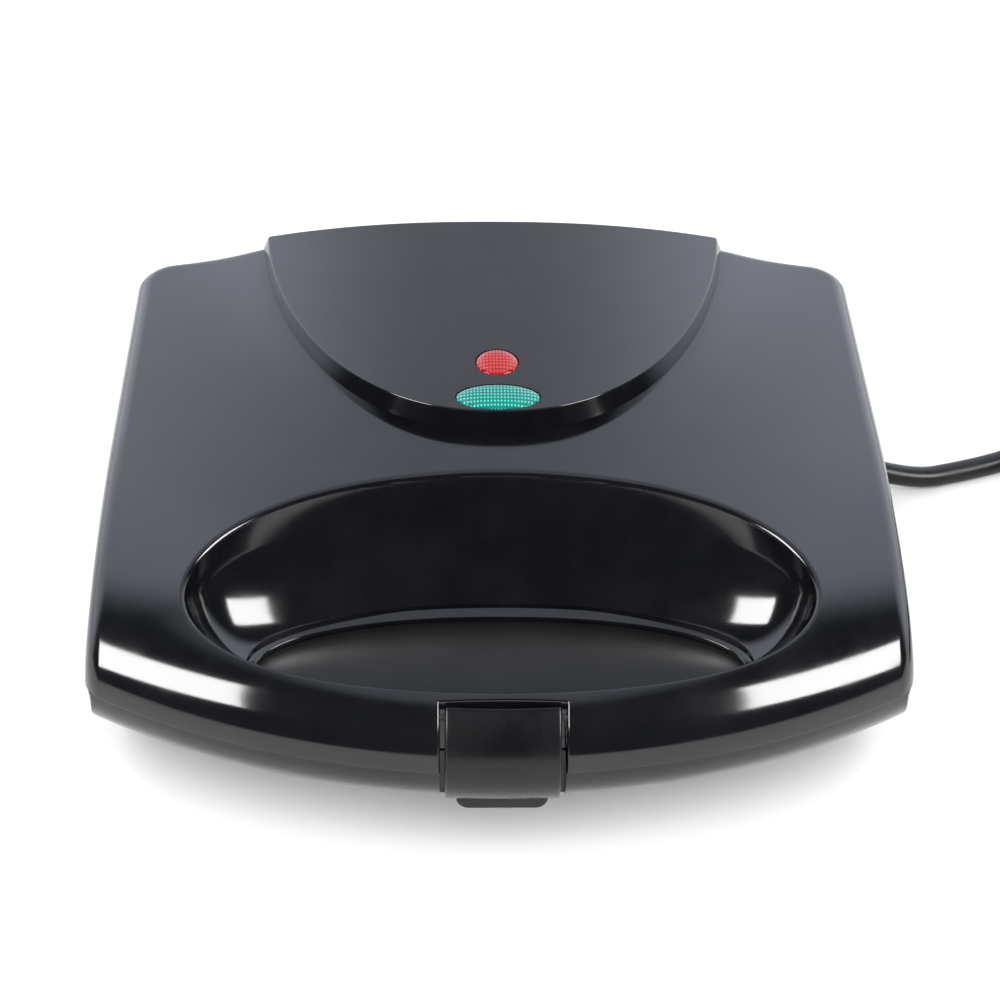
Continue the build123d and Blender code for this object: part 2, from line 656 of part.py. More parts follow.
def pocket_outlines():
    """The four triangles of the two slices, as corner lists."""
    half_ridge = POCKET_RIDGE / 2
    low = PLATE_Y - PLATE_DEPTH / 2 + PLATE_RIM + POCKET_EDGE
    high = PLATE_Y + PLATE_DEPTH / 2 - PLATE_RIM - POCKET_EDGE
    outer = PLATE_WIDTH / 2 - PLATE_RIM - POCKET_EDGE
    shift_x = half_ridge * math.hypot(outer, high - low) / (high - low)
    shift_y = half_ridge * math.hypot(outer, high - low) / outer
    inner = POCKET_EDGE
    triangles = []
    for side in (-1, 1):
        near_x, far_x = side * (outer - 2 * shift_x), side * (inner + 2 * shift_x)
        triangles.append([(side * inner, low), (near_x, low), (side * inner, high - 2 * shift_y)])
        triangles.append([(side * outer, high), (far_x, high), (side * outer, low + 2 * shift_y)])
    return triangles


def pocket(corners, grow, depth):
    """One toasting pocket's hollow, or its outside when grown, going down from the plate's face."""
    plan = make_face(Polyline(*corners, close=True))
    plan = fillet(plan.vertices(), POCKET_CORNER_R)
    if grow:
        plan = offset(plan, grow)
    return extrude(Pos(0, 0, PLATE_FACE_Z) * plan, -depth, taper=POCKET_TAPER)


def build_lower_plate():
    """The base's cast cooking plate, with two diagonally cut slices and two clamp bosses."""
    flange_top = BASE_TOP_Z - FRAME_LIP - 0.2
    flange_low = BASE_TOP_Z - FRAME_THICK
    plate = extrude(Pos(0, 0, flange_low) * plate_plan(PLATE_WIDTH, PLATE_DEPTH), flange_top - flange_low)
    face = plate_plan(PLATE_WIDTH - 2 * PLATE_RIM, PLATE_DEPTH - 2 * PLATE_RIM)
    plate += extrude(Pos(0, 0, flange_low) * face, PLATE_FACE_Z - flange_low)
    for corners in pocket_outlines():
        plate += pocket(corners, PLATE_WALL, POCKET_DEPTH + PLATE_WALL)
    for y in clamp_screw_ys():
        plate += rod(CLAMP_BOSS_R, (0, y, CLAMP_TOP_Z), (0, y, flange_low + 0.5))
    for corners in pocket_outlines():
        plate -= pocket(corners, 0, POCKET_DEPTH)
    for y in clamp_screw_ys():
        plate -= rod(SCREW_R, (0, y, CLAMP_TOP_Z - 1), (0, y, flange_low - 1))
    return plate


def element_path(end_x):
    """The heating tube's U in plan."""
    front = PLATE_Y - ELEMENT_LEG
    back = PLATE_Y + ELEMENT_LEG
    z = ELEMENT_Z
    first = Edge.make_line((end_x, front, z), (ELEMENT_BEND_X, front, z))
    bend = Edge.make_three_point_arc((ELEMENT_BEND_X, front, z), (ELEMENT_BEND_X + ELEMENT_LEG, PLATE_Y, z),
                                     (ELEMENT_BEND_X, back, z))
    last = Edge.make_line((ELEMENT_BEND_X, back, z), (end_x, back, z))
    return Wire([first, bend, last])


def build_lower_element():
    """The tubular heating element, bent once."""
    path = element_path(ELEMENT_END_X)
    section = Plane(origin=path @ 0, z_dir=path % 0) * Circle(ELEMENT_R)
    return sweep(section, path)


def build_lower_insulators():
    """A ceramic bush on each end of the heating tube, with its terminal stub."""
    pieces = []
    for y in (PLATE_Y - ELEMENT_LEG, PLATE_Y + ELEMENT_LEG):
        start = (ELEMENT_END_X - INSULATOR_LENGTH, y, ELEMENT_Z)
        bush = rod(INSULATOR_R, start, (ELEMENT_END_X, y, ELEMENT_Z))
        pieces.append(bush)
    return Compound(children=pieces)


def build_lower_clamp():
    """The steel bar that presses both legs of the tube against the plate."""
    half = ELEMENT_LEG + 6
    bar = box_between((-CLAMP_WIDTH / 2, PLATE_Y - half, CLAMP_TOP_Z - CLAMP_THICK),
                      (CLAMP_WIDTH / 2, PLATE_Y + half, CLAMP_TOP_Z))
    bar = fillet(bar.edges().filter_by(Axis.Z), 3)
    for y in clamp_screw_ys():
        bar -= rod(SCREW_R + SCREW_CLEAR, (0, y, 0), (0, y, SEAM_Z))
    return bar


def build_upper_clamp():
    """The lid's clamp bar, with an arm that holds the thermostat down."""
    low = SEAM_Z * 2 - CLAMP_TOP_Z
    arm = box_between((0, PLATE_Y - 5, low), (THERMOSTAT_X + THERMOSTAT_R, PLATE_Y + 5, low + CLAMP_THICK))
    return upper(build_lower_clamp()) + arm


def build_lower_reflector():
    """A shallow tray under the heating element."""
    low = REFLECTOR_LOW_Z
    depth = PLATE_DEPTH - 2 * REFLECTOR_EDGE
    tray = extrude(Pos(0, PLATE_Y, low) * RectangleRounded(2 * REFLECTOR_HALF, depth, 8), REFLECTOR_WALL)
    inside = 2 * REFLECTOR_THICK
    tray -= extrude(Pos(0, PLATE_Y, low + REFLECTOR_THICK) * RectangleRounded(
        2 * REFLECTOR_HALF - inside, depth - inside, 8 - REFLECTOR_THICK), REFLECTOR_WALL)
    for y in (PLATE_Y - ELEMENT_LEG, PLATE_Y + ELEMENT_LEG):
        room = INSULATOR_R + 0.6
        corner = (-REFLECTOR_HALF - 2, y - room, ELEMENT_Z - room)
        tray -= box_between(corner, (-REFLECTOR_HALF + 3, y + room, SEAM_Z))
    for y in clamp_screw_ys():
        tray -= rod(SCREW_R + SCREW_CLEAR, (0, y, 0), (0, y, SEAM_Z))
    return tray


def screw(head_at, direction, shank, radius=SCREW_R, head_radius=SCREW_HEAD_R, head=SCREW_HEAD):
    """A screw whose head starts at a point, with its shank along a direction."""
    start = Vector(*head_at)
    ahead = Vector(*direction)
    top = rod(head_radius, start.to_tuple(), (start + ahead * head).to_tuple())
    body = rod(radius - SCREW_SLACK, start.to_tuple(), (start + ahead * (head + shank)).to_tuple())
    slot_plane = Plane(origin=start, z_dir=ahead)
    cross = slot_plane * Box(0.6, 2.4, 1.4) + slot_plane * Box(2.4, 0.6, 1.4)
    return (top + body) - cross


def build_lower_clamp_screws():
    """Two screws through reflector and bar into the plate's bosses."""
    start = REFLECTOR_LOW_Z - SCREW_HEAD
    return Compound(children=[screw((0, y, start), (0, 0, 1), 9) for y in clamp_screw_ys()])


def clip_screw_places():
    """X and Y of the screws of the clips that hold a plate in its frame."""
    front = PLATE_Y - PLATE_DEPTH / 2 - CLIP_REACH / 2 + 2.0
    back = PLATE_Y + PLATE_DEPTH / 2 + CLIP_REACH / 2 - 2.0
    return [(side * CLIP_X, y) for side in (-1, 1) for y in (front, back)]


def build_lower_clips():
    """Four steel clips behind the plate's edge."""
    top = BASE_TOP_Z - FRAME_THICK
    clips = []
    for x, y in clip_screw_places():
        inward = 1 if y < PLATE_Y else -1
        ends = sorted((y - inward * CLIP_END, y + inward * (CLIP_REACH - CLIP_END)))
        low = (x - CLIP_WIDTH / 2, ends[0], top - CLIP_THICK)
        clip = box_between(low, (x + CLIP_WIDTH / 2, ends[1], top))
        clips.append(clip - rod(SCREW_R + SCREW_CLEAR, (x, y, top - 5), (x, y, top + 5)))
    return Compound(children=clips)


def build_lower_clip_screws():
    """The clips' screws."""
    start = BASE_TOP_Z - FRAME_THICK - CLIP_THICK - SCREW_HEAD
    length = CLIP_THICK + CLIP_SCREW - 0.2
    return Compound(children=[screw((x, y, start), (0, 0, 1), length) for x, y in clip_screw_places()])


def build_lower_cover_screws():
    """Screws from the seam through the frame into the base's posts."""
    shank = COVER_SCREW + FRAME_THICK - SCREW_HEAD - 0.5
    sizes = (shank, COVER_SCREW_R, COVER_SCREW_HEAD_R, SCREW_HEAD - 0.1)
    places = [(x, y, BASE_TOP_Z - 0.1) for x, y in cover_screw_places()]
    return Compound(children=[screw(place, (0, 0, -1), *sizes) for place in places])


def foot_places():
    """X and Y of the four feet."""
    return [(side * FOOT_X, y) for side in (-1, 1) for y in (FOOT_FRONT_Y, FOOT_BACK_Y)]


def build_feet():
    """Four rubber feet pressed into the base's floor."""
    feet = []
    for x, y in foot_places():
        pad = rod(FOOT_R, (x, y, 0), (x, y, BASE_FLOOR_Z))
        pad = fillet(pad.edges().sort_by(Axis.Z)[0], 1.0)
        feet.append(pad + rod(FOOT_STEM_R, (x, y, BASE_FLOOR_Z - 1), (x, y, BASE_FLOOR_Z + FOOT_STEM)))
    return Compound(children=feet)


def build_hinge_pins():
    """Two steel pins, each through two ears and one barrel."""
    reach = BARREL_LENGTH / 2 + HINGE_SIDE_GAP + EAR_THICK + PIN_END
    return Compound(children=[rod(PIN_R, (x - reach, HINGE_Y, HINGE_Z), (x + reach, HINGE_Y, HINGE_Z))
                              for x in (-HINGE_X, HINGE_X)])


def build_terminal_block():
    """A ceramic block on the base's floor with three wire holes."""
    length, depth, height = TERMINAL_SIZE
    low = BASE_FLOOR_Z + WALL
    block = box_between((TERMINAL_X - length / 2, TERMINAL_Y - depth / 2, low),
                        (TERMINAL_X + length / 2, TERMINAL_Y + depth / 2, low + height))
    block = fillet(block.edges().filter_by(Axis.Z), 1.5)
    for x in terminal_xs():
        block -= rod(WIRE_R + 0.3, (x, TERMINAL_Y - depth, low + 4), (x, TERMINAL_Y + depth, low + 4))
        block -= rod(SCREW_R + SCREW_CLEAR, (x, TERMINAL_Y, low + 4.5), (x, TERMINAL_Y, low + height + 1))
    return block


def terminal_xs():
    """X of the terminal block's three ways."""
    return [TERMINAL_X + step * TERMINAL_SIZE[0] / 3.3 for step in (-1, 0, 1)]


def build_terminal_screws():
    """One clamping screw for each way."""
    top = BASE_FLOOR_Z + WALL + TERMINAL_SIZE[2] - 0.6
    low = top - 4.5
    screws = [rod(SCREW_R, (x, TERMINAL_Y, low), (x, TERMINAL_Y, top)) for x in terminal_xs()]
    return Compound(children=screws)


def tube_along(points, radius, radii=None):
    """A round tube along straight runs joined by arcs."""
    points = [Vector(*p) if isinstance(p, tuple) else p for p in points]
    radii = radii or corner_radii(points)
    path = FilletPolyline(*points, radius=radii)
    wire = Wire(path.edges())
    section = Plane(origin=wire @ 0, z_dir=wire % 0) * Circle(radius)
    return sweep(section, wire)


def corner_radii(points):
    """The arc at each corner, as large as its two runs allow."""
    radii = []
    for before, here, after in zip(points, points[1:], points[2:]):
        first = here - before
        second = after - here
        turn = math.radians(first.get_angle(second))
        radii.append(0.45 * min(first.length, second.length) / math.tan(turn / 2))
    return radii


def build_lower_wires():
    """Insulated leads from the terminal block to the tube's ends and the cord."""
    low = BASE_FLOOR_Z + WALL + 4
    xs = terminal_xs()
    far = TERMINAL_Y - TERMINAL_SIZE[1] / 2 + 1
    end_x = ELEMENT_END_X - INSULATOR_LENGTH / 2
    end_z = ELEMENT_Z - INSULATOR_R - WIRE_R - 0.1
    leads = []
    for x, leg in ((xs[0], PLATE_Y + ELEMENT_LEG), (xs[1], PLATE_Y - ELEMENT_LEG)):
        front = far - 12 - (x - xs[0]) * 0.6
        route = [(x, far, low), (x, front, low), (x - 22, front - 8, low), (-60.0, front - 12, low)]
        leads.append(tube_along(route + [(-90.0, leg - 4, low + 3), (end_x, leg, end_z)], WIRE_R))
    near = TERMINAL_Y + TERMINAL_SIZE[1] / 2 - 1
    end = Vector(*SHEATH_ROUTE[-1])
    for x, aside in ((xs[2], -1.6), (xs[1], 1.6)):
        turn_y = end.Y + aside
        leads.append(tube_along([(x, near, low), (x, turn_y, low), (end.X - 0.2, turn_y, low)], WIRE_R))
    return Compound(children=leads)


def build_cord_guard():
    """The tapered strain relief in the base's side wall, with its inner flange and grooves."""
    start = Vector(*GUARD_START)
    end = Vector(*GUARD_END)
    ahead = (end - start).normalized()
    length = (end - start).length
    neck_end = GUARD_FLANGE + GUARD_NECK
    plane = Plane(origin=start, z_dir=ahead)
    guard = plane * Solid.make_cylinder(GUARD_FLANGE_R, GUARD_FLANGE)
    guard += plane * Solid.make_cylinder(GUARD_ROOT_R, neck_end)
    guard += plane * (Pos(0, 0, neck_end) * Solid.make_cone(GUARD_ROOT_R, GUARD_TIP_R, length - neck_end))
    for step in range(GUARD_GROOVES):
        at = neck_end + 1.0 + step * GUARD_GROOVE_STEP
        radius = GUARD_ROOT_R - (GUARD_ROOT_R - GUARD_TIP_R) * (at - neck_end) / (length - neck_end)
        ring = Circle(GUARD_ROOT_R + 1) - Circle(radius - 0.8)
        guard -= plane * (Pos(0, 0, at) * extrude(ring, 1.2))
    return guard


def build_cord_inner_end():
    """The cord's sheath from the guard down to its end on the base's floor."""
    start = Vector(*GUARD_START)
    first = Vector(*SHEATH_ROUTE[0])
    inside = start + (start - first).normalized() * 2
    sheath = tube_along([inside, first, Vector(*SHEATH_ROUTE[1])], CORD_R)
    return sheath - rod(GUARD_FLANGE_R, GUARD_START, GUARD_END)


def cord_clamp_screw_places():
    """X and Y of the cord clamp's two screws."""
    return [(CORD_CLAMP_X, sheath_at_clamp().Y + step * CORD_CLAMP_SCREW) for step in (-1, 1)]


def sheath_at_clamp():
    """The sheath's middle under the clamp."""
    before, after = Vector(*SHEATH_ROUTE[0]), Vector(*SHEATH_ROUTE[1])
    return before + (after - before) * ((CORD_CLAMP_X - before.X) / (after.X - before.X))


def build_cord_clamp():
    """The bridge that holds the cord's sheath down on the base's floor."""
    middle = sheath_at_clamp()
    reach = CORD_CLAMP_LENGTH / 2
    room = CORD_R + 0.3
    top = middle.Z + room + CORD_CLAMP_THICK
    bridge = box_between((CORD_CLAMP_X - reach, middle.Y - CORD_CLAMP_HALF, BASE_INNER_Z),
                         (CORD_CLAMP_X + reach, middle.Y + CORD_CLAMP_HALF, top))
    left, right = CORD_CLAMP_X - 2 * reach, CORD_CLAMP_X + 2 * reach
    bridge -= rod(room, (left, middle.Y, middle.Z), (right, middle.Y, middle.Z))
    bridge -= box_between((left, middle.Y - room, 0), (right, middle.Y + room, middle.Z))
    for x, y in cord_clamp_screw_places():
        bridge -= rod(SCREW_R + SCREW_CLEAR, (x, y, 0), (x, y, top + 1))
    return bridge


def build_cord_clamp_screws():
    """The cord clamp's two screws, into the base's floor."""
    low = BASE_INNER_Z - CORD_CLAMP_PILOT
    top = sheath_at_clamp().Z + CORD_R + 0.3 + CORD_CLAMP_THICK + SCREW_HEAD
    return Compound(children=[screw((x, y, top), (0, 0, -1), top - SCREW_HEAD - low - 0.2)
                              for x, y in cord_clamp_screw_places()])


def latch_profile():
    """The latch's side view: it follows both handles and ends in the hook and the tab."""
    start = FRONT_Y + ROLL_DEPTH
    depth = ROLL_DEPTH + LATCH_PROUD
    height = ROLL_HEIGHT + LATCH_PROUD
    front = [(start - depth * math.sqrt(1 - ((z - SEAM_Z) / height) ** 2), z)
             for z in spread(LATCH_TOP_Z, SEAM_Z, 7)]
    centre = FRONT_Y + GRIP_R
    outer = GRIP_R + LATCH_PROUD
    inner = outer - LATCH_THICK
    low_z = SEAM_Z - math.sqrt(outer ** 2 - (TAB_FRONT_Y - centre) ** 2)
    turn = math.acos((centre - TAB_FRONT_Y) / outer) / 2
    middle = (centre - outer * math.cos(turn), SEAM_Z - outer * math.sin(turn))
    hook_z = CATCH_BOTTOM_Z - CATCH_CLEAR
    inner_z = SEAM_Z - inner * 0.72
    inner_y = centre - inner * math.sqrt(1 - 0.72 ** 2)
    half_y = centre - inner * math.cos(0.4)
    half_z = SEAM_Z - inner * math.sin(0.4)
    back = Polyline((TAB_FRONT_Y, low_z), (TAB_FRONT_Y, TAB_BOTTOM_Z), (LATCH_HOOK_Y, TAB_BOTTOM_Z),
                    (LATCH_HOOK_Y, hook_z), (inner_y, inner_z))
    rise = ThreePointArc((inner_y, inner_z), (half_y, half_z), (centre - inner, SEAM_Z))
    top = Polyline((centre - inner, SEAM_Z), (centre - inner + 0.7, SEAM_Z + 4.5),
                   (LATCH_PIVOT_Y - 3.6, LATCH_PIVOT_Z - 4.6), (LATCH_PIVOT_Y - 1.2, LATCH_PIVOT_Z - 1.7),
                   (LATCH_PIVOT_Y + 1.1, LATCH_PIVOT_Z + 1.6), front[0])
    curve = Spline(*front, tangents=((-0.62, -0.79), (0, -1)), tangent_scalars=(1, 1))
    arc = ThreePointArc(front[-1], middle, (TAB_FRONT_Y, low_z))
    return make_face([curve, arc, back, rise, top])


def build_latch():
    """The swing latch that bridges both handles."""
    side_view = Plane.YZ * latch_profile()
    half_turn = 6.0
    axis = Axis((0, ARC_CENTRE_Y, 0), (0, 0, 1))
    half_plus = revolve(side_view, axis, half_turn)
    body = half_plus + mirror(half_plus, about=Plane.YZ)
    half = LATCH_WIDTH / 2
    body &= box_between((-half, -BIG / 2, 0), (half, 0, BIG))
    shoulder_z = TAB_BOTTOM_Z + TAB_CORNER_R + 0.4
    for side in (-1, 1):
        ends = sorted((side * TAB_WIDTH / 2, side * BIG))
        body -= box_between((ends[0], -BIG / 2, 0), (ends[1], 0, shoulder_z))
    low_edges = [e for e in body.edges().filter_by(Axis.Y)
                 if abs(abs(e.center().X) - TAB_WIDTH / 2) < 0.2 and e.center().Z < TAB_BOTTOM_Z + 0.2]
    body = fillet(low_edges, TAB_CORNER_R)
    body += rod(LATCH_BOSS_R, (-half, LATCH_PIVOT_Y, LATCH_PIVOT_Z), (half, LATCH_PIVOT_Y, LATCH_PIVOT_Z))
    return body - latch_pin_rod(LATCH_PIN_R + LATCH_PIN_CLEAR)


def build_lens(centre_y, half_x, half_y):
    """An indicator lens with the flange that holds it under the panel."""
    top = lens_foot(centre_y, half_x, half_y)
    lens = lens_plug(centre_y, half_x, half_y, top - 0.05, PANEL_BACK_Z) & panel_surface(LENS_PROUD)
    flange = lens_plug(centre_y, half_x + LENS_FLANGE, half_y + LENS_FLANGE, top - LENS_FLANGE_THICK, top)
    return lens + (flange & box_between((-BIG, HOLDER_FRONT_Y, 0), (BIG, BIG, BIG)))


def build_lamp_holder():
    """The open-topped box under the lenses, with a chamber for each lamp and two lugs."""
    low = HOLDER_TOP_Z - HOLDER_HEIGHT
    half = HOLDER_WIDTH / 2
    holder = box_between((-half, HOLDER_FRONT_Y, low), (half, HOLDER_BACK_Y, HOLDER_TOP_Z))
    length, depth, thick = HOLDER_LUG
    holder += box_between((-length / 2, HOLDER_Y - depth / 2, HOLDER_TOP_Z - thick),
                          (length / 2, HOLDER_Y + depth / 2, HOLDER_TOP_Z))
    wall = HOLDER_WALL / 2
    front_room = (HOLDER_FRONT_Y + 2 * wall, HOLDER_MIDDLE_Y - wall)
    back_room = (HOLDER_MIDDLE_Y + wall, HOLDER_BACK_Y - 2 * wall)
    for near, far in (front_room, back_room):
        corner = (-half + 2 * wall, near, low + 2 * wall)
        holder -= box_between(corner, (half - 2 * wall, far, HOLDER_TOP_Z + 1))
    for side in (-1, 1):
        x = side * HOLDER_LUG_X
        holder -= rod(SCREW_R + SCREW_CLEAR, (x, HOLDER_Y, low), (x, HOLDER_Y, HOLDER_TOP_Z + 1))
    return holder


def build_lamp_holder_screws():
    """Two screws from below into the lid's pegs."""
    start = HOLDER_TOP_Z - HOLDER_LUG[2] - SCREW_HEAD
    shank = HOLDER_LUG[2] + HOLDER_SCREW_GRIP - 0.3
    places = [(side * HOLDER_LUG_X, HOLDER_Y, start) for side in (-1, 1)]
    return Compound(children=[screw(place, (0, 0, 1), shank) for place in places])


def build_neon_lamps():
    """A small glow lamp in each chamber."""
    lamps = []
    for y in LAMP_YS:
        lamps.append(rod(LAMP_R, (-LAMP_LENGTH / 2, y, LAMP_Z), (LAMP_LENGTH / 2, y, LAMP_Z)))
    return Compound(children=lamps)


def build_thermostat():
    """A round thermostat between the lid's plate and its clamp arm, with two blade terminals."""
    low = 2 * SEAM_Z - PLATE_BACK_Z
    high = 2 * SEAM_Z - CLAMP_TOP_Z
    body = rod(THERMOSTAT_R, (THERMOSTAT_X, PLATE_Y, low + 0.05), (THERMOSTAT_X, PLATE_Y, high - 0.05))
    for side in (-1, 1):
        y = PLATE_Y + side * (THERMOSTAT_R + 3)
        left, right = THERMOSTAT_X - 3, THERMOSTAT_X + 3
        body += box_between((left, min(y, PLATE_Y), low + 2.5), (right, max(y, PLATE_Y), low + 3.3))
    return body


def build_thermal_fuse():
    """The sleeved one-shot fuse on the lid's reflector."""
    z = 2 * SEAM_Z - REFLECTOR_LOW_Z + FUSE_R + 0.1
    return rod(FUSE_R, (-FUSE_LENGTH / 2, FUSE_Y, z), (FUSE_LENGTH / 2, FUSE_Y, z))


def build_fuse_clip():
    """The strap over the fuse."""
    low = 2 * SEAM_Z - REFLECTOR_LOW_Z
    z = low + FUSE_R + 0.1
    half = FUSE_CLIP_WIDTH / 2
    strap = rod(FUSE_R + 0.1 + FUSE_CLIP_THICK, (-half, FUSE_Y, z), (half, FUSE_Y, z))
    reach = FUSE_R + 6
    strap += box_between((-half, FUSE_Y - reach, low), (half, FUSE_Y + reach, low + FUSE_CLIP_THICK))
    strap -= rod(FUSE_R + 0.1, (-BIG, FUSE_Y, z), (BIG, FUSE_Y, z))
    room = FUSE_R + 0.1
    strap -= box_between((-BIG, FUSE_Y - room, low - 10), (BIG, FUSE_Y + room, z))
    return strap & box_between((-half, FUSE_Y - reach, low), (half, FUSE_Y + reach, low + 4 * FUSE_R))


def build_upper_wires():
    """Insulated leads on the lid's reflector, to the lamps, the fuse and the tube's ends."""
    low = 2 * SEAM_Z - REFLECTOR_LOW_Z + WIRE_R + 0.2
    fuse_z = 2 * SEAM_Z - REFLECTOR_LOW_Z + FUSE_R + 0.1
    end_x = ELEMENT_END_X - INSULATOR_LENGTH / 2
    end_z = 2 * SEAM_Z - ELEMENT_Z + INSULATOR_R + WIRE_R + 0.1
    leg = PLATE_Y + ELEMENT_LEG
    tail = FUSE_LENGTH / 2 + 0.2
    routes = [
        [(-tail, FUSE_Y, fuse_z), (-32.0, FUSE_Y, fuse_z), (-56.0, leg + 8, low),
         (-82.0, leg + 6, low), (-100.5, leg + 1.5, low), (end_x, leg, end_z)],
        [(tail, FUSE_Y, fuse_z), (28.0, FUSE_Y, fuse_z), (48.0, FUSE_Y + 8, low),
         (66.0, FUSE_Y + 14, low), (80.0, FUSE_Y + 22, low)],
    ]
    for y in LAMP_YS:
        routes.append([(-HOLDER_WIDTH / 2 - 0.2, y, low + 9), (-24.0, y, low + 9), (-36.0, y + 3, low),
                       (-58.0, y + 10, low), (-80.0, y + 14, low)])
    return Compound(children=[tube_along(route, WIRE_R) for route in routes])


def coil_point(turns):
    """A point of the coil's line and the direction there, after a number of turns."""
    def place(at):
        radius = COIL_RADIUS - COIL_PITCH * min(at, COIL_TURNS - at)
        angle = math.radians(COIL_START - 360 * at)
        share = min(1.0, max(0.0, (at - COIL_TURNS / 2) / COIL_CLIMB + 0.5))
        z = COIL_LOW_Z + COIL_LAYER * share * share * (3 - 2 * share)
        x, y = COIL_CENTRE
        return Vector(x + radius * math.cos(angle), y + radius * math.sin(angle), z)
    step = 0.01
    return place(turns), (place(turns + step) - place(turns - step)).normalized()


def biarc(start, start_way, end, end_way):
    """Two arcs that join two points with given directions."""
    across = end - start
    spread_out = 2 * (1 - start_way.dot(end_way))
    both = across.dot(start_way + end_way)
    reach = (-both + math.sqrt(both ** 2 + spread_out * across.dot(across))) / spread_out
    joint = (start + end + (start_way - end_way) * reach) * 0.5
    first = Edge.make_tangent_arc(start, start_way, joint)
    return [first, Edge.make_tangent_arc(joint, first % 1, end)]


def build_cord_coil():
    """The put-away cord: two layers of turns, spiralling in below and out above."""
    count = round(COIL_TURNS * 4)
    stations = [coil_point(t) for t in spread(0, COIL_TURNS, count + 1)]
    first, first_way = stations[0]
    last, last_way = stations[-1]
    edges = [Edge.make_line(first - first_way * COIL_STRAIGHT, first)]
    for (a, way_a), (b, way_b) in zip(stations, stations[1:]):
        edges += biarc(a, way_a, b, way_b)
    edges.append(Edge.make_line(last, last + last_way * COIL_TAIL))
    wire = Wire(edges)
    samples = [wire @ (i / 600) for i in range(601)]
    apart = 30
    least = min((samples[i] - samples[j]).length for i in range(601) for j in range(i + apart, 601))
    print("coil: length %.0f mm, least gap between turns %.2f mm" % (wire.length, least - 2 * CORD_R))
    section = Plane(origin=wire @ 0, z_dir=wire % 0) * Circle(CORD_R)
    return sweep(section, wire)


def cord_points():
    """The free cord's corners, from the guard's tip to the start of the coil."""
    start, ahead = coil_point(0.0)
    lead = start - ahead * COIL_STRAIGHT
    tip = Vector(*GUARD_END)
    out = (tip - Vector(*GUARD_START)).normalized()
    middle = [Vector(*p) for p in CORD_ROUTE]
    return [tip, tip + out * CORD_FIRST] + middle + [lead - ahead * CORD_LAST, lead]


def build_power_cord():
    """The cord's free stretch on the table."""
    points = cord_points()
    radii = corner_radii(points)
    print("cord radii", [round(r) for r in radii])
    cord = tube_along(points, CORD_R, radii)
    print("cord: length %.0f mm" % (cord.volume / (math.pi * CORD_R ** 2)))
    return cord


def build_cord_tie():
    """The band round the coil's turns."""
    turns = [(COIL_START - TIE_ANGLE + 360 * n) / 360 for n in range(-1, 5)]
    passes = [t for t in turns if 0 <= t <= COIL_TURNS]
    radial = Vector(math.cos(math.radians(TIE_ANGLE)), math.sin(math.radians(TIE_ANGLE)), 0)
    outs = [(coil_point(t)[0] - Vector(*COIL_CENTRE, 0)).dot(radial) for t in passes]
    tops = [coil_point(t)[0].Z for t in passes]
    room = CORD_R + TIE_CLEAR
    low = (min(outs) - room, TIE_THICK)
    high = (max(outs) + room, max(tops) + room)
    plane = Plane(origin=(*COIL_CENTRE, 0), x_dir=radial, z_dir=Vector(0, 0, 1))
    width, height = high[0] - low[0], high[1] - low[1]
    middle = Pos((low[0] + high[0]) / 2, 0, (low[1] + high[1]) / 2)
    outside = middle * Box(width + 2 * TIE_THICK, TIE_WIDTH, height + 2 * TIE_THICK)
    outside = fillet(outside.edges().filter_by(Axis.Y), 3 + TIE_THICK)
    inside = middle * Box(width, TIE_WIDTH + 2, height)
    inside = fillet(inside.edges().filter_by(Axis.Y), 3)
    return plane * (outside - inside)


def plug_plane():
    """Where the cord enters the plug, looking along the plug."""
    last, ahead = coil_point(COIL_TURNS)
    return Plane(origin=last + ahead * COIL_TAIL, x_dir=ahead.cross(Vector(0, 0, 1)), z_dir=ahead)


def build_plug_body():
    """The moulded plug, a tapered tail and a flat-sided grip."""
    plane = plug_plane()
    tail = Solid.make_cone(GUARD_TIP_R, PLUG_TAIL_R, PLUG_TAIL + 1)
    section = RectangleRounded(2 * PLUG_HALF_WIDTH, 2 * PLUG_HALF_HEIGHT, PLUG_CORNER_R)
    grip = extrude(Pos(0, 0, PLUG_TAIL) * section, PLUG_LENGTH)
    ends = [e for e in grip.edges() if abs(e.bounding_box().size.Z) < 0.01]
    return plane * (fillet(ends, PLUG_EDGE_R) + tail)


def build_plug_pins():
    """The plug's two round pins."""
    plane = plug_plane()
    pins = []
    for side in (-1, 1):
        place = Pos(side * PLUG_PIN_SPACING / 2, 0, PLUG_TAIL + PLUG_LENGTH)
        pin = place * Solid.make_cylinder(PLUG_PIN_R, PLUG_PIN)
        pins.append(plane * fillet(pin.edges().sort_by(Axis.Z)[-1], 1.2))
    return Compound(children=pins)


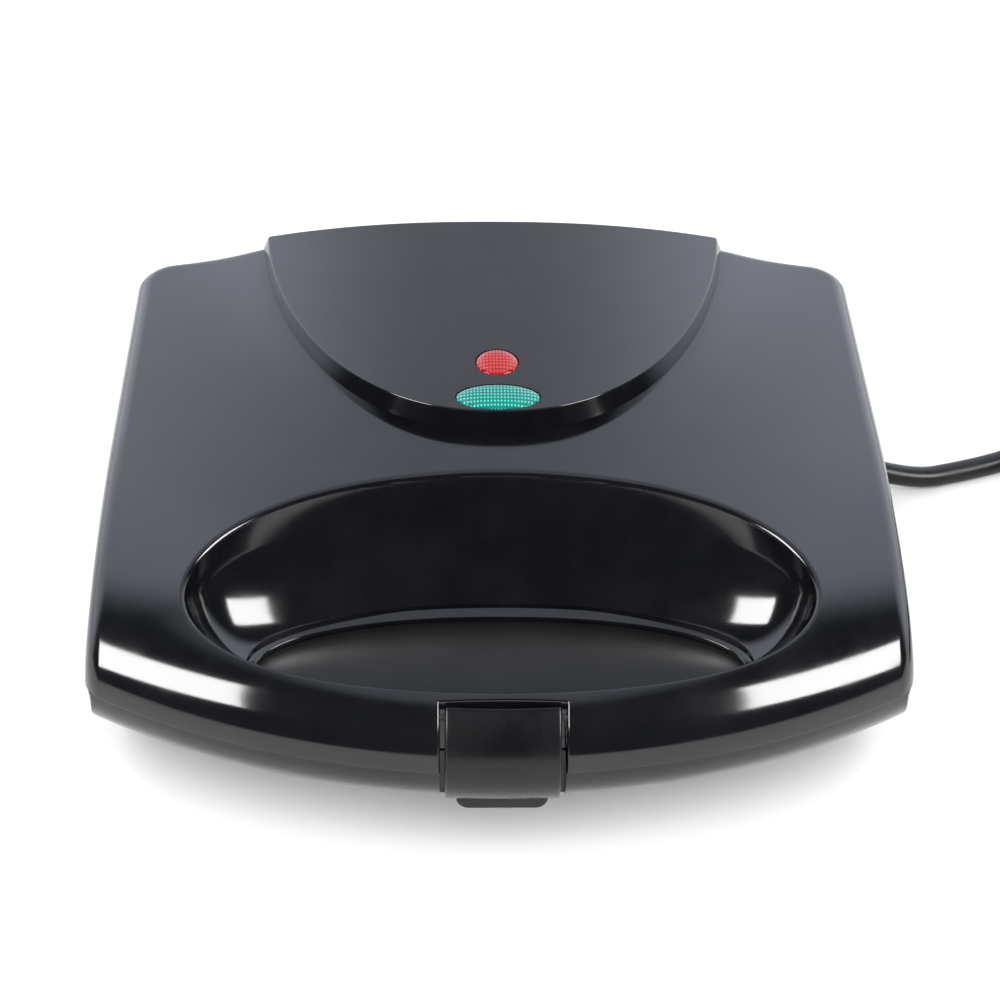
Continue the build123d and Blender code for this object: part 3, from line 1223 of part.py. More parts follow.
def build_all():
    """Every node of the appliance by name."""
    plate = build_lower_plate()
    element = build_lower_element()
    insulators = build_lower_insulators()
    clamp = build_lower_clamp()
    clamp_screws = build_lower_clamp_screws()
    reflector = build_lower_reflector()
    clips = build_lower_clips()
    clip_screws = build_lower_clip_screws()
    cover_screws = build_lower_cover_screws()
    return {
        "lower_cover": build_lower_cover(),
        "lower_plate_frame": build_lower_frame(),
        "lower_cooking_plate": plate,
        "lower_heating_element": element,
        "lower_insulators": insulators,
        "lower_element_clamp": clamp,
        "lower_clamp_screws": clamp_screws,
        "lower_reflector": reflector,
        "lower_plate_clips": clips,
        "lower_clip_screws": clip_screws,
        "lower_cover_screws": cover_screws,
        "rubber_feet": build_feet(),
        "hinge_pins": build_hinge_pins(),
        "terminal_block": build_terminal_block(),
        "terminal_screws": build_terminal_screws(),
        "lower_wires": build_lower_wires(),
        "cord_guard": build_cord_guard(),
        "cord_inner_end": build_cord_inner_end(),
        "cord_clamp": build_cord_clamp(),
        "cord_clamp_screws": build_cord_clamp_screws(),
        "power_cord": build_power_cord(),
        "cord_coil": build_cord_coil(),
        "cord_tie": build_cord_tie(),
        "plug_body": build_plug_body(),
        "plug_pins": build_plug_pins(),
        "upper_cover": build_upper_cover(),
        "upper_plate_frame": build_upper_frame(),
        "upper_cooking_plate": upper(plate),
        "upper_heating_element": upper(element),
        "upper_insulators": upper(insulators),
        "upper_element_clamp": build_upper_clamp(),
        "upper_clamp_screws": upper(clamp_screws),
        "upper_reflector": upper(reflector),
        "upper_plate_clips": upper(clips),
        "upper_clip_screws": upper(clip_screws),
        "upper_cover_screws": upper(cover_screws),
        "thermostat": build_thermostat(),
        "thermal_fuse": build_thermal_fuse(),
        "fuse_clip": build_fuse_clip(),
        "lamp_holder": build_lamp_holder(),
        "lamp_holder_screws": build_lamp_holder_screws(),
        "neon_lamps": build_neon_lamps(),
        "red_lens": build_lens(*RED_LENS),
        "green_lens": build_lens(*GREEN_LENS),
        "upper_wires": build_upper_wires(),
        "latch_pin": latch_pin_rod(LATCH_PIN_R),
        "latch": build_latch(),
    }


def main():
    """Write one STEP file for each node."""
    os.makedirs("parts", exist_ok=True)
    for name, shape in build_all().items():
        export_step(shape, os.path.join("parts", name + ".step"))


if __name__ == "__main__":
    main()
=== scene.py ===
"""Looks of an electric sandwich maker: moulded skins, finishes, mains cord, floor and studio."""
import logging
import math
from dataclasses import dataclass, field
from enum import Enum
from typing import Callable, Iterable, Sequence

import bmesh
import bpy
import numpy as np
from mathutils import Matrix, Vector


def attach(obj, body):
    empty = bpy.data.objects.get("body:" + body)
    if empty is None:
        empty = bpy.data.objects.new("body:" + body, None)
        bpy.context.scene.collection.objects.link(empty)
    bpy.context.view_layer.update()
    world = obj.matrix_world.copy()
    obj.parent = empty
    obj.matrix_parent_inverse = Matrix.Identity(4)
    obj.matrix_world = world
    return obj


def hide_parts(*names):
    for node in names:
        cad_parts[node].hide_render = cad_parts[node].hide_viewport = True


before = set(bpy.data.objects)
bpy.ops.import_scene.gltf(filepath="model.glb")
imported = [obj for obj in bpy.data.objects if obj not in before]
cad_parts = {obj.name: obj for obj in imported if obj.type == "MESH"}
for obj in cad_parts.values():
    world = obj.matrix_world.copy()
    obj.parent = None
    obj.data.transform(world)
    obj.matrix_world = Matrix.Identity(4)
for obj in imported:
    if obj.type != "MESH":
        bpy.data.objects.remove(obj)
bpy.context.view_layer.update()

LOG = logging.getLogger("sandwich_maker")
MM = 0.001
BEYOND = 260.0
Colour = tuple[float, float, float]
Socket = bpy.types.NodeSocket


class NodeSheet:
    """A node tree with short ways to add and join nodes."""

    def __init__(self, tree: bpy.types.NodeTree) -> None:
        """Keeps the tree and empties it."""
        self.tree = tree
        self.tree.nodes.clear()

    def add(self, kind: str, **settings: object) -> bpy.types.Node:
        """Adds a node.

        Args:
            kind: Blender's name of the node type.
            settings: values of the node's own properties.

        Returns:
            The new node.
        """
        node = self.tree.nodes.new(kind)
        for name, value in settings.items():
            setattr(node, name, value)
        return node

    def join(self, source: Socket, target: Socket) -> None:
        """Links one socket to another."""
        self.tree.links.new(source, target)

    def feed(self, node: bpy.types.Node, name: str | int, value: object) -> None:
        """Sets an input, or links it where the value is a socket.

        Args:
            node: the node that has the input.
            name: the input's name or number.
            value: a number, a colour or another node's output.
        """
        if isinstance(value, bpy.types.NodeSocket):
            self.join(value, node.inputs[name])
        else:
            node.inputs[name].default_value = value

    def maths(self, how: str, first: object, second: object = 0.0, clamp: bool = False) -> Socket:
        """Adds a Math node.

        Args:
            how: the operation.
            first: the first value or socket.
            second: the second value or socket.
            clamp: whether the result stays between 0 and 1.

        Returns:
            The node's output.
        """
        node = self.add("ShaderNodeMath", operation=how, use_clamp=clamp)
        self.feed(node, 0, first)
        if how not in {"ABSOLUTE", "COSINE"}:
            self.feed(node, 1, second)
        return node.outputs[0]

    def remap(self, value: Socket, low: float, high: float, to_low: float = 0.0,
              to_high: float = 1.0) -> Socket:
        """Maps one range of a value to another, eased at both ends, and holds it there.

        Args:
            value: the socket to map.
            low: start of the range that comes in.
            high: end of the range that comes in.
            to_low: what the start becomes.
            to_high: what the end becomes.

        Returns:
            The mapped socket.
        """
        node = self.add("ShaderNodeMapRange", clamp=True, interpolation_type="SMOOTHSTEP")
        for name, given in (("Value", value), ("From Min", low), ("From Max", high),
                            ("To Min", to_low), ("To Max", to_high)):
            self.feed(node, name, given)
        return node.outputs[0]

    def noise(self, place: Socket, scale: float | Socket, detail: float = 3.0,
              rough: float = 0.55) -> Socket:
        """Adds a Noise texture.

        Args:
            place: the coordinates.
            scale: features per metre.
            detail: octaves.
            rough: how strong the fine octaves are.

        Returns:
            The noise value.
        """
        node = self.add("ShaderNodeTexNoise")
        self.feed(node, "Vector", place)
        self.feed(node, "Scale", scale)
        self.feed(node, "Detail", detail)
        self.feed(node, "Roughness", rough)
        return node.outputs["Fac"]

    def place(self) -> Socket:
        """The piece's own coordinates."""
        return self.add("ShaderNodeTexCoord").outputs["Object"]

    def stretched(self, place: Socket, scale: tuple[float, float, float]) -> Socket:
        """Coordinates scaled by a factor along each axis.

        Args:
            place: the coordinates.
            scale: the factors.

        Returns:
            The scaled coordinates.
        """
        node = self.add("ShaderNodeMapping")
        self.feed(node, "Vector", place)
        self.feed(node, "Scale", scale)
        return node.outputs[0]

    def axes(self, place: Socket) -> dict[str, Socket]:
        """The X, Y and Z of a vector.

        Args:
            place: the vector.

        Returns:
            One socket for each axis.
        """
        node = self.add("ShaderNodeSeparateXYZ")
        self.feed(node, 0, place)
        return {axis: node.outputs[axis] for axis in "XYZ"}

    def blend(self, share: object, first: object, second: object) -> Socket:
        """Mixes two colours.

        Args:
            share: how much of the second, 0 to 1.
            first: a colour or socket.
            second: a colour or socket.

        Returns:
            The mixed colour.
        """
        node = self.add("ShaderNodeMix", data_type="RGBA")
        self.feed(node, 0, share)
        for slot, given in ((6, first), (7, second)):
            if isinstance(given, tuple) and len(given) == 3:
                given = (*given, 1.0)
            self.feed(node, slot, given)
        return node.outputs[2]


class Effect(Enum):
    """Surface effects that several finishes share."""

    GRAIN = "moulded grain"
    HANDLING = "handling marks"
    WEAR = "edge wear"


class EffectShelf:
    """Builds each shared effect once, as a node group."""

    def __init__(self) -> None:
        """Starts with no group made."""
        self.made: dict[Effect, bpy.types.NodeTree] = {}

    def group(self, effect: Effect) -> bpy.types.NodeTree:
        """Gives an effect's node group, and builds it the first time.

        Args:
            effect: the effect.

        Returns:
            The effect's node group.
        """
        if effect not in self.made:
            builder = {Effect.GRAIN: self.build_grain, Effect.HANDLING: self.build_handling,
                       Effect.WEAR: self.build_wear}[effect]
            self.made[effect] = builder()
        return self.made[effect]

    def sheet(self, name: str, inputs: dict[str, float], outputs: Sequence[str]
              ) -> tuple[NodeSheet, bpy.types.Node, bpy.types.Node]:
        """Starts a group with its sockets.

        Args:
            name: the group's name.
            inputs: the inputs and their usual values.
            outputs: the outputs' names.

        Returns:
            The group's sheet, its input node and its output node.
        """
        tree = bpy.data.node_groups.new(name, "ShaderNodeTree")
        for label, usual in inputs.items():
            socket = tree.interface.new_socket(label, in_out="INPUT", socket_type="NodeSocketFloat")
            socket.default_value = usual
        for label in outputs:
            tree.interface.new_socket(label, in_out="OUTPUT", socket_type="NodeSocketFloat")
        sheet = NodeSheet(tree)
        return sheet, sheet.add("NodeGroupInput"), sheet.add("NodeGroupOutput")

    def build_grain(self) -> bpy.types.NodeTree:
        """Fine pits and flow of a moulded or cast surface: height and tone.

        Returns:
            The group's node tree.
        """
        sheet, given, result = self.sheet(
            "moulded_grain", {"Scale": 2600.0, "Flow": 60.0}, ("Height", "Tone"))
        place = sheet.place()
        fine = sheet.noise(place, given.outputs["Scale"], 2.0, 0.5)
        flow = sheet.noise(place, given.outputs["Flow"], 3.0, 0.6)
        cells = sheet.add("ShaderNodeTexVoronoi")
        sheet.feed(cells, "Vector", place)
        sheet.feed(cells, "Scale", sheet.maths("MULTIPLY", given.outputs["Scale"], 0.6))
        pits = sheet.remap(cells.outputs["Distance"], 0.0, 0.7)
        sheet.feed(result, "Height", sheet.maths("ADD", fine, sheet.maths("MULTIPLY", pits, 0.4)))
        sheet.feed(result, "Tone", sheet.remap(flow, 0.3, 0.7))
        return sheet.tree

    def build_handling(self) -> bpy.types.NodeTree:
        """Faint smears from hands and settled dust: two masks.

        Returns:
            The group's node tree.
        """
        sheet, given, result = self.sheet(
            "handling_marks", {"Scale": 35.0, "Dust": 900.0}, ("Smear", "Dust"))
        place = sheet.place()
        smear = sheet.noise(sheet.stretched(place, (1.0, 0.35, 1.0)), given.outputs["Scale"], 4.0, 0.62)
        specks = sheet.noise(place, given.outputs["Dust"], 1.0, 0.4)
        facing = sheet.axes(sheet.add("ShaderNodeNewGeometry").outputs["Normal"])
        up = sheet.remap(facing["Z"], 0.2, 0.95)
        sheet.feed(result, "Smear", sheet.remap(smear, 0.42, 0.72))
        sheet.feed(result, "Dust", sheet.maths("MULTIPLY", up, sheet.remap(specks, 0.66, 0.8)))
        return sheet.tree

    def build_wear(self) -> bpy.types.NodeTree:
        """Rubbed outer edges: one mask that is broken up by noise.

        Returns:
            The group's node tree.
        """
        sheet, given, result = self.sheet(
            "edge_wear", {"Scale": 400.0, "Reach": 0.56}, ("Mask",))
        place = sheet.place()
        edge = sheet.add("ShaderNodeNewGeometry").outputs["Pointiness"]
        rise = sheet.maths("SUBTRACT", edge, given.outputs["Reach"])
        broken = sheet.noise(place, given.outputs["Scale"], 3.0, 0.6)
        strength = sheet.maths("MULTIPLY", rise, 12.0, clamp=True)
        sheet.feed(result, "Mask", sheet.maths("MULTIPLY", strength, broken, clamp=True))
        return sheet.tree


EFFECTS = EffectShelf()


@dataclass(frozen=True)
class Finish:
    """A surface finish: one Principled shader with grain, handling marks and worn edges."""

    name: str
    colour: Colour
    rough: float
    second: Colour | None = None
    rough_spread: float = 0.05
    metallic: float = 0.0
    ior: float = 1.5
    grain: float = 2600.0
    bump: float = 0.05
    bump_size: float = 0.00003
    smear: float = 0.04
    dust: float = 0.03
    wear: float = 0.2
    wear_colour: Colour = (0.08, 0.08, 0.085)
    transmission: float = 0.0

    def effect(self, sheet: NodeSheet, effect: Effect, **values: float) -> bpy.types.Node:
        """Places a shared effect in the material with this finish's own values.

        Args:
            sheet: the material's node sheet.
            effect: the effect.
            values: this finish's own inputs.

        Returns:
            The group's node.
        """
        node = sheet.add("ShaderNodeGroup", node_tree=EFFECTS.group(effect))
        for name, value in values.items():
            sheet.feed(node, name, value)
        return node

    def colour_at(self, sheet: NodeSheet, tone: Socket) -> Socket:
        """Colour over the surface, from the grain's tone."""
        other = self.second or tuple(min(1.0, c * 1.25 + 0.001) for c in self.colour)
        return sheet.blend(tone, self.colour, other)

    def height_at(self, sheet: NodeSheet, grain: Socket) -> Socket:
        """Height over the surface that the bump follows."""
        return grain

    def rough_at(self, sheet: NodeSheet, rough: Socket) -> Socket:
        """Roughness over the surface, from the grain and the smears."""
        return rough

    def build(self) -> bpy.types.Material:
        """Makes the material.

        Returns:
            The material, with nothing in it that depends on the viewer.
        """
        material = bpy.data.materials.new(self.name)
        material.use_nodes = True
        sheet = NodeSheet(material.node_tree)
        shader = sheet.add("ShaderNodeBsdfPrincipled")
        out = sheet.add("ShaderNodeOutputMaterial")
        sheet.join(shader.outputs[0], out.inputs["Surface"])
        grain = self.effect(sheet, Effect.GRAIN, Scale=self.grain)
        marks = self.effect(sheet, Effect.HANDLING)
        colour = self.colour_at(sheet, grain.outputs["Tone"])
        if self.dust:
            dust = sheet.maths("MULTIPLY", marks.outputs["Dust"], self.dust)
            colour = sheet.blend(dust, colour, (0.35, 0.34, 0.33))
        if self.wear:
            worn = self.effect(sheet, Effect.WEAR)
            share = sheet.maths("MULTIPLY", worn.outputs["Mask"], self.wear)
            colour = sheet.blend(share, colour, self.wear_colour)
        sheet.feed(shader, "Base Color", colour)
        spread = sheet.maths("MULTIPLY", grain.outputs["Tone"], self.rough_spread)
        smear = sheet.maths("MULTIPLY", marks.outputs["Smear"], self.smear)
        rough = sheet.maths("ADD", sheet.maths("ADD", spread, smear), self.rough, clamp=True)
        sheet.feed(shader, "Roughness", self.rough_at(sheet, rough))
        bump = sheet.add("ShaderNodeBump")
        sheet.feed(bump, "Strength", self.bump)
        sheet.feed(bump, "Distance", self.bump_size)
        sheet.feed(bump, "Height", self.height_at(sheet, grain.outputs["Height"]))
        sheet.join(bump.outputs[0], shader.inputs["Normal"])
        sheet.feed(shader, "Metallic", self.metallic)
        sheet.feed(shader, "IOR", self.ior)
        sheet.feed(shader, "Transmission Weight", self.transmission)
        material.diffuse_color = (*self.colour, 1.0)
        return material


@dataclass(frozen=True)
class LensFinish(Finish):
    """A coloured lamp lens with a square grid of small prisms moulded under its face and a painted highlight on
    each prism's tip.
    """

    prism: tuple[float, float] = (0.00098, 0.00150)

    def prism_relief_and_glint(self, sheet: NodeSheet) -> Socket:
        """Mask of the prisms' tips, from the part's own X and Y: their relief and their painted highlight.

        Args:
            sheet: the material's node sheet.

        Returns:
            The mask.
        """
        parts = sheet.axes(sheet.place())
        waves = [sheet.maths("COSINE", sheet.maths("MULTIPLY", parts[axis], 2 * math.pi / step))
                 for axis, step in zip("XY", self.prism)]
        return sheet.remap(sheet.maths("ADD", waves[0], waves[1]), 0.1, 1.7)

    def colour_at(self, sheet: NodeSheet, tone: Socket) -> Socket:
        """Deep between the prisms, with a painted highlight on their tips."""
        return sheet.blend(self.prism_relief_and_glint(sheet), self.colour, self.second)

    def height_at(self, sheet: NodeSheet, grain: Socket) -> Socket:
        """The prisms' own relief."""
        return self.prism_relief_and_glint(sheet)


@dataclass(frozen=True)
class SpeckledFinish(Finish):
    """A sprayed non-stick coat with fine lighter specks."""

    speck: Colour = (0.12, 0.12, 0.12)

    def colour_at(self, sheet: NodeSheet, tone: Socket) -> Socket:
        """Coat colour with its specks."""
        specks = sheet.remap(sheet.noise(sheet.place(), 1800.0, 1.0, 0.4), 0.68, 0.74)
        return sheet.blend(specks, self.colour, self.speck)


@dataclass(frozen=True)
class BrushedFinish(Finish):
    """Drawn or rolled metal with fine lines along one axis."""

    def height_at(self, sheet: NodeSheet, grain: Socket) -> Socket:
        """Fine drawn lines."""
        return sheet.noise(sheet.stretched(sheet.place(), (1.0, 40.0, 40.0)), 120.0, 4.0, 0.6)


@dataclass(frozen=True)
class BaseFinish(Finish):
    """The base's plastic, glossy outside and finely eroded in the finger dish under the handle."""

    dish_rough: float = 0.5
    dish_middle: tuple[float, float, float] = (0.0, -0.0673, 0.0457)
    dish_half: tuple[float, float, float] = (0.0705, 0.0252, 0.030)

    def rough_at(self, sheet: NodeSheet, rough: Socket) -> Socket:
        """Roughness over the surface: duller inside the dish.

        Args:
            sheet: the material's node sheet.
            rough: roughness outside the dish.

        Returns:
            The roughness.
        """
        place = sheet.place()
        for how, value in (("SUBTRACT", self.dish_middle), ("DIVIDE", self.dish_half)):
            step = sheet.add("ShaderNodeVectorMath", operation=how)
            sheet.feed(step, 0, place)
            sheet.feed(step, 1, value)
            place = step.outputs[0]
        far = sheet.add("ShaderNodeVectorMath", operation="LENGTH")
        sheet.feed(far, 0, place)
        inside = sheet.remap(far.outputs["Value"], 0.98, 1.02, self.dish_rough, 0.0)
        return sheet.maths("MAXIMUM", rough, inside)


class Finishes(Enum):
    """Every finish on the appliance, by what it covers."""

    CASING = Finish("casing_black_gloss", (0.0028, 0.0030, 0.0038), 0.085, rough_spread=0.03, bump=0.12,
                    bump_size=0.00002, smear=0.03, dust=0.012, wear=0.05)
    BASE = BaseFinish("base_black_satin", (0.0028, 0.0030, 0.0038), 0.12, rough_spread=0.04, bump=0.12,
                      bump_size=0.00002, smear=0.04, dust=0.01, wear=0.05, ior=1.4)
    LATCH = Finish("latch_black_satin", (0.0030, 0.0032, 0.0037), 0.22, rough_spread=0.05, bump=0.15,
                   bump_size=0.00003, smear=0.05, dust=0.02, wear=0.1, ior=1.36)
    INNER = Finish("inner_black_matt", (0.014, 0.014, 0.015), 0.42, bump=0.3, grain=1500.0)
    PLATE = SpeckledFinish("non_stick_coat", (0.016, 0.016, 0.017), 0.38, bump=0.35, grain=1400.0, dust=0.0,
                           wear=0.3, wear_colour=(0.25, 0.25, 0.25))
    STEEL_BAR = BrushedFinish("blued_steel_tube", (0.24, 0.22, 0.20), 0.42, second=(0.12, 0.11, 0.13),
                              metallic=1.0, bump=0.2, dust=0.0, wear=0.2, wear_colour=(0.45, 0.42, 0.4))
    CERAMIC = Finish("white_ceramic", (0.78, 0.76, 0.70), 0.5, second=(0.70, 0.67, 0.60), bump=0.4,
                     grain=900.0, wear=0.15, wear_colour=(0.5, 0.48, 0.44))
    SCREW = BrushedFinish("zinc_screw", (0.62, 0.61, 0.58), 0.28, second=(0.52, 0.52, 0.50), metallic=1.0,
                          bump=0.15, wear=0.2, wear_colour=(0.75, 0.75, 0.74))
    SPRING = BrushedFinish("spring_steel", (0.50, 0.50, 0.51), 0.24, second=(0.42, 0.43, 0.45),
                           metallic=1.0, bump=0.2, wear=0.2, wear_colour=(0.7, 0.7, 0.7))
    PIN = BrushedFinish("blackened_pin", (0.035, 0.035, 0.037), 0.42, second=(0.022, 0.022, 0.024),
                        metallic=0.6, bump=0.2, wear=0.2, wear_colour=(0.12, 0.12, 0.12))
    REFLECTOR = BrushedFinish("aluminised_sheet", (0.72, 0.73, 0.74), 0.32, second=(0.62, 0.63, 0.65),
                              metallic=1.0, bump=0.25, dust=0.1, wear=0.1, wear_colour=(0.85, 0.85, 0.85))
    FOOT = Finish("foot_rubber", (0.028, 0.028, 0.029), 0.68, bump=0.5, grain=1100.0, dust=0.3)
    BRASS = BrushedFinish("brass", (0.78, 0.56, 0.25), 0.26, second=(0.70, 0.49, 0.21), metallic=1.0,
                          bump=0.15, wear=0.3, wear_colour=(0.9, 0.72, 0.4))
    SLEEVE = Finish("woven_wire_sleeve", (0.70, 0.66, 0.56), 0.6, second=(0.56, 0.52, 0.44), bump=0.8,
                    bump_size=0.0001, grain=2400.0, wear=0.0)
    CORD = Finish("cord_black_rubber", (0.0052, 0.0053, 0.0056), 0.30, rough_spread=0.1, bump=0.25,
                  bump_size=0.00004, grain=900.0, smear=0.05, dust=0.03, wear=0.0, ior=1.33)
    TIE = Finish("tie_black_nylon", (0.02, 0.02, 0.021), 0.36, bump=0.2, grain=1300.0)
    PHENOLIC = Finish("brown_phenolic", (0.13, 0.055, 0.03), 0.36, second=(0.09, 0.035, 0.02), bump=0.3,
                      grain=1200.0, wear_colour=(0.24, 0.14, 0.09))
    GLASS = Finish("lamp_glass", (0.92, 0.93, 0.93), 0.06, rough_spread=0.02, dust=0.0, wear=0.0, smear=0.02,
                   bump=0.03, transmission=0.92, ior=1.47)
    # The lenses' second colour is a painted highlight on the prism tips, not a colour of the plastic.
    RED_LENS = LensFinish("red_lamp_lens", (0.20, 0.001, 0.001), 0.10, second=(0.85, 0.015, 0.012),
                          bump=0.35, bump_size=0.0001, dust=0.0, wear=0.0)
    GREEN_LENS = LensFinish("green_lamp_lens", (0.0, 0.11, 0.095), 0.10, second=(0.004, 0.62, 0.48),
                            bump=0.35, bump_size=0.0001, dust=0.0, wear=0.0)


class Wardrobe:
    """Makes each finish's material once and dresses the CAD nodes with it."""

    def __init__(self) -> None:
        """Starts with no material made."""
        self.made: dict[Finishes, bpy.types.Material] = {}

    def material(self, finish: Finishes) -> bpy.types.Material:
        """Gives a finish's material, and builds it the first time.

        Args:
            finish: the finish.

        Returns:
            Its material.
        """
        if finish not in self.made:
            self.made[finish] = finish.value.build()
        return self.made[finish]

    def dress_node(self, node: str, finish: Finishes) -> None:
        """Dresses a carried-over CAD node by its material slots.

        Args:
            node: the CAD node's name.
            finish: the finish for all of it.
        """
        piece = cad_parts[node]
        if not piece.material_slots:
            piece.data.materials.append(self.material(finish))
        for slot in piece.material_slots:
            slot.material = self.material(finish)


WARDROBE = Wardrobe()


def link(name: str, data: bpy.types.ID | None) -> bpy.types.Object:
    """Makes an object of some data and links it to the scene.

    Args:
        name: the object's name.
        data: its mesh, curve, light or camera.

    Returns:
        The object.
    """
    piece = bpy.data.objects.new(name, data)
    bpy.context.scene.collection.objects.link(piece)
    return piece


def new_mesh_object(name: str, points: np.ndarray, faces: Iterable[Sequence[int]],
                    smooth: bool = True) -> bpy.types.Object:
    """Makes a mesh object from points in millimetres.

    Args:
        name: the object's name.
        points: one row of X, Y, Z for each point.
        faces: point numbers of each face.
        smooth: whether faces shade smoothly.

    Returns:
        The object, linked to the scene.
    """
    mesh = bpy.data.meshes.new(name)
    mesh.from_pydata((np.asarray(points, float) * MM).tolist(), [], [tuple(f) for f in faces])
    mesh.validate()
    mesh.polygons.foreach_set("use_smooth", [smooth] * len(mesh.polygons))
    return link(name, mesh)


def grid_faces(rows: int, columns: int, closed: bool = False) -> list[tuple[int, ...]]:
    """Quads of a grid of points that is stored row after row.

    Args:
        rows: number of rows.
        columns: points in a row.
        closed: whether the last row joins the first.

    Returns:
        The faces.
    """
    return [(i * columns + k, i * columns + k + 1,
             (i + 1) % rows * columns + k + 1, (i + 1) % rows * columns + k)
            for i in range(rows if closed else rows - 1) for k in range(columns - 1)]


def ring_faces(rings: int, count: int, caps: bool = True) -> list[tuple[int, ...]]:
    """Quads between closed rings of points that are stored one after the other.

    Args:
        rings: number of rings.
        count: points in a ring.
        caps: whether the first and last rings are filled.

    Returns:
        The faces.
    """
    faces = [(i * count + k, i * count + (k + 1) % count, (i + 1) * count + (k + 1) % count,
              (i + 1) * count + k) for i in range(rings - 1) for k in range(count)]
    if caps:
        faces += [tuple(range(count - 1, -1, -1)), tuple(range((rings - 1) * count, rings * count))]
    return faces


def square_to(line: np.ndarray) -> np.ndarray:
    """Unit vectors square to a flat line, all on one side of it.

    Args:
        line: points of the line, one row each.

    Returns:
        One unit vector for each point.
    """
    run = np.gradient(line, axis=0)
    run /= np.maximum(np.linalg.norm(run, axis=1, keepdims=True), 1e-9)
    return np.stack([run[:, 1], -run[:, 0]], -1)


def carve(piece: bpy.types.Object, cutter: bpy.types.Object) -> None:
    """Cuts one closed mesh out of another and removes it.

    Args:
        piece: the mesh object that is cut.
        cutter: the closed mesh that cuts it.
    """
    cut = piece.modifiers.new("cut", "BOOLEAN")
    cut.operation, cut.solver, cut.object = "DIFFERENCE", "EXACT", cutter
    with bpy.context.temp_override(object=piece, active_object=piece):
        bpy.ops.object.modifier_apply(modifier=cut.name)
    bpy.data.objects.remove(cutter, do_unlink=True)


def weld(piece: bpy.types.Object, distance: float = 0.02) -> None:
    """Merges points that lie on each other and turns all faces outwards.

    Args:
        piece: the mesh object.
        distance: how near merged points lie, in millimetres.
    """
    work = bmesh.new()
    work.from_mesh(piece.data)
    bmesh.ops.remove_doubles(work, verts=work.verts, dist=distance * MM)
    bmesh.ops.recalc_face_normals(work, faces=work.faces)
    work.to_mesh(piece.data)
    work.free()


def soft_min(first: np.ndarray, second: np.ndarray, radius: float) -> np.ndarray:
    """The smaller of two depths, with a round of a given radius where they meet."""
    near = np.hypot(np.maximum(radius - first, 0.0), np.maximum(radius - second, 0.0))
    return np.where(np.minimum(first, second) > radius, np.minimum(first, second), radius - near)


def true_normals(piece: bpy.types.Object, depths: Sequence[Callable[..., np.ndarray]],
                 tolerance: float = 0.03, crease: float = 0.55) -> None:
    """Gives a mesh the exact normals of the surfaces it was traced on.

    Args:
        piece: the mesh object.
        depths: tell how deep a point lies in each body, below 0 outside it.
        tolerance: how near a point must lie to a surface, in millimetres.
        crease: faces that face further away than this cosine keep their own normal.
    """
    mesh = piece.data
    points = np.empty(len(mesh.vertices) * 3)
    mesh.vertices.foreach_get("co", points)
    points = points.reshape(-1, 3) / MM
    exact = np.zeros_like(points)
    for depth in depths:
        gap = depth(*points.T)
        steps = [depth(*(points + step).T) - depth(*(points - step).T) for step in np.eye(3) * 0.02]
        slope = -np.stack(steps, -1)
        slope /= np.maximum(np.linalg.norm(slope, axis=1, keepdims=True), 1e-12)
        near = (np.abs(gap) < tolerance) & ~exact.any(axis=1)
        exact[near] = slope[near]
    corner = np.empty(len(mesh.loops), np.int64)
    mesh.loops.foreach_get("vertex_index", corner)
    flat = np.empty(len(mesh.polygons) * 3)
    mesh.polygons.foreach_get("normal", flat)
    sides = np.empty(len(mesh.polygons), np.int64)
    mesh.polygons.foreach_get("loop_total", sides)
    flat = np.repeat(flat.reshape(-1, 3), sides, axis=0)
    normals = exact[corner]
    away = (normals * flat).sum(axis=1) < crease
    normals[away & normals.any(axis=1)] = flat[away & normals.any(axis=1)]
    mesh.normals_split_custom_set(normals.tolist())


def place_piece(piece: bpy.types.Object, finish: Finishes, body: str, slot: str, *replaced: str) -> None:
    """Dresses a new piece and seats it on its body.

    Args:
        piece: the piece.
        finish: its finish.
        body: the CAD body that carries it.
        slot: the record's material slot; not used.
        replaced: the CAD nodes that it stands for.
    """
    piece.data.materials.clear()
    piece.data.materials.append(WARDROBE.material(finish))
    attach(piece, body)
    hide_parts(*replaced)
    LOG.info("%s rides on %s", piece.name, body)


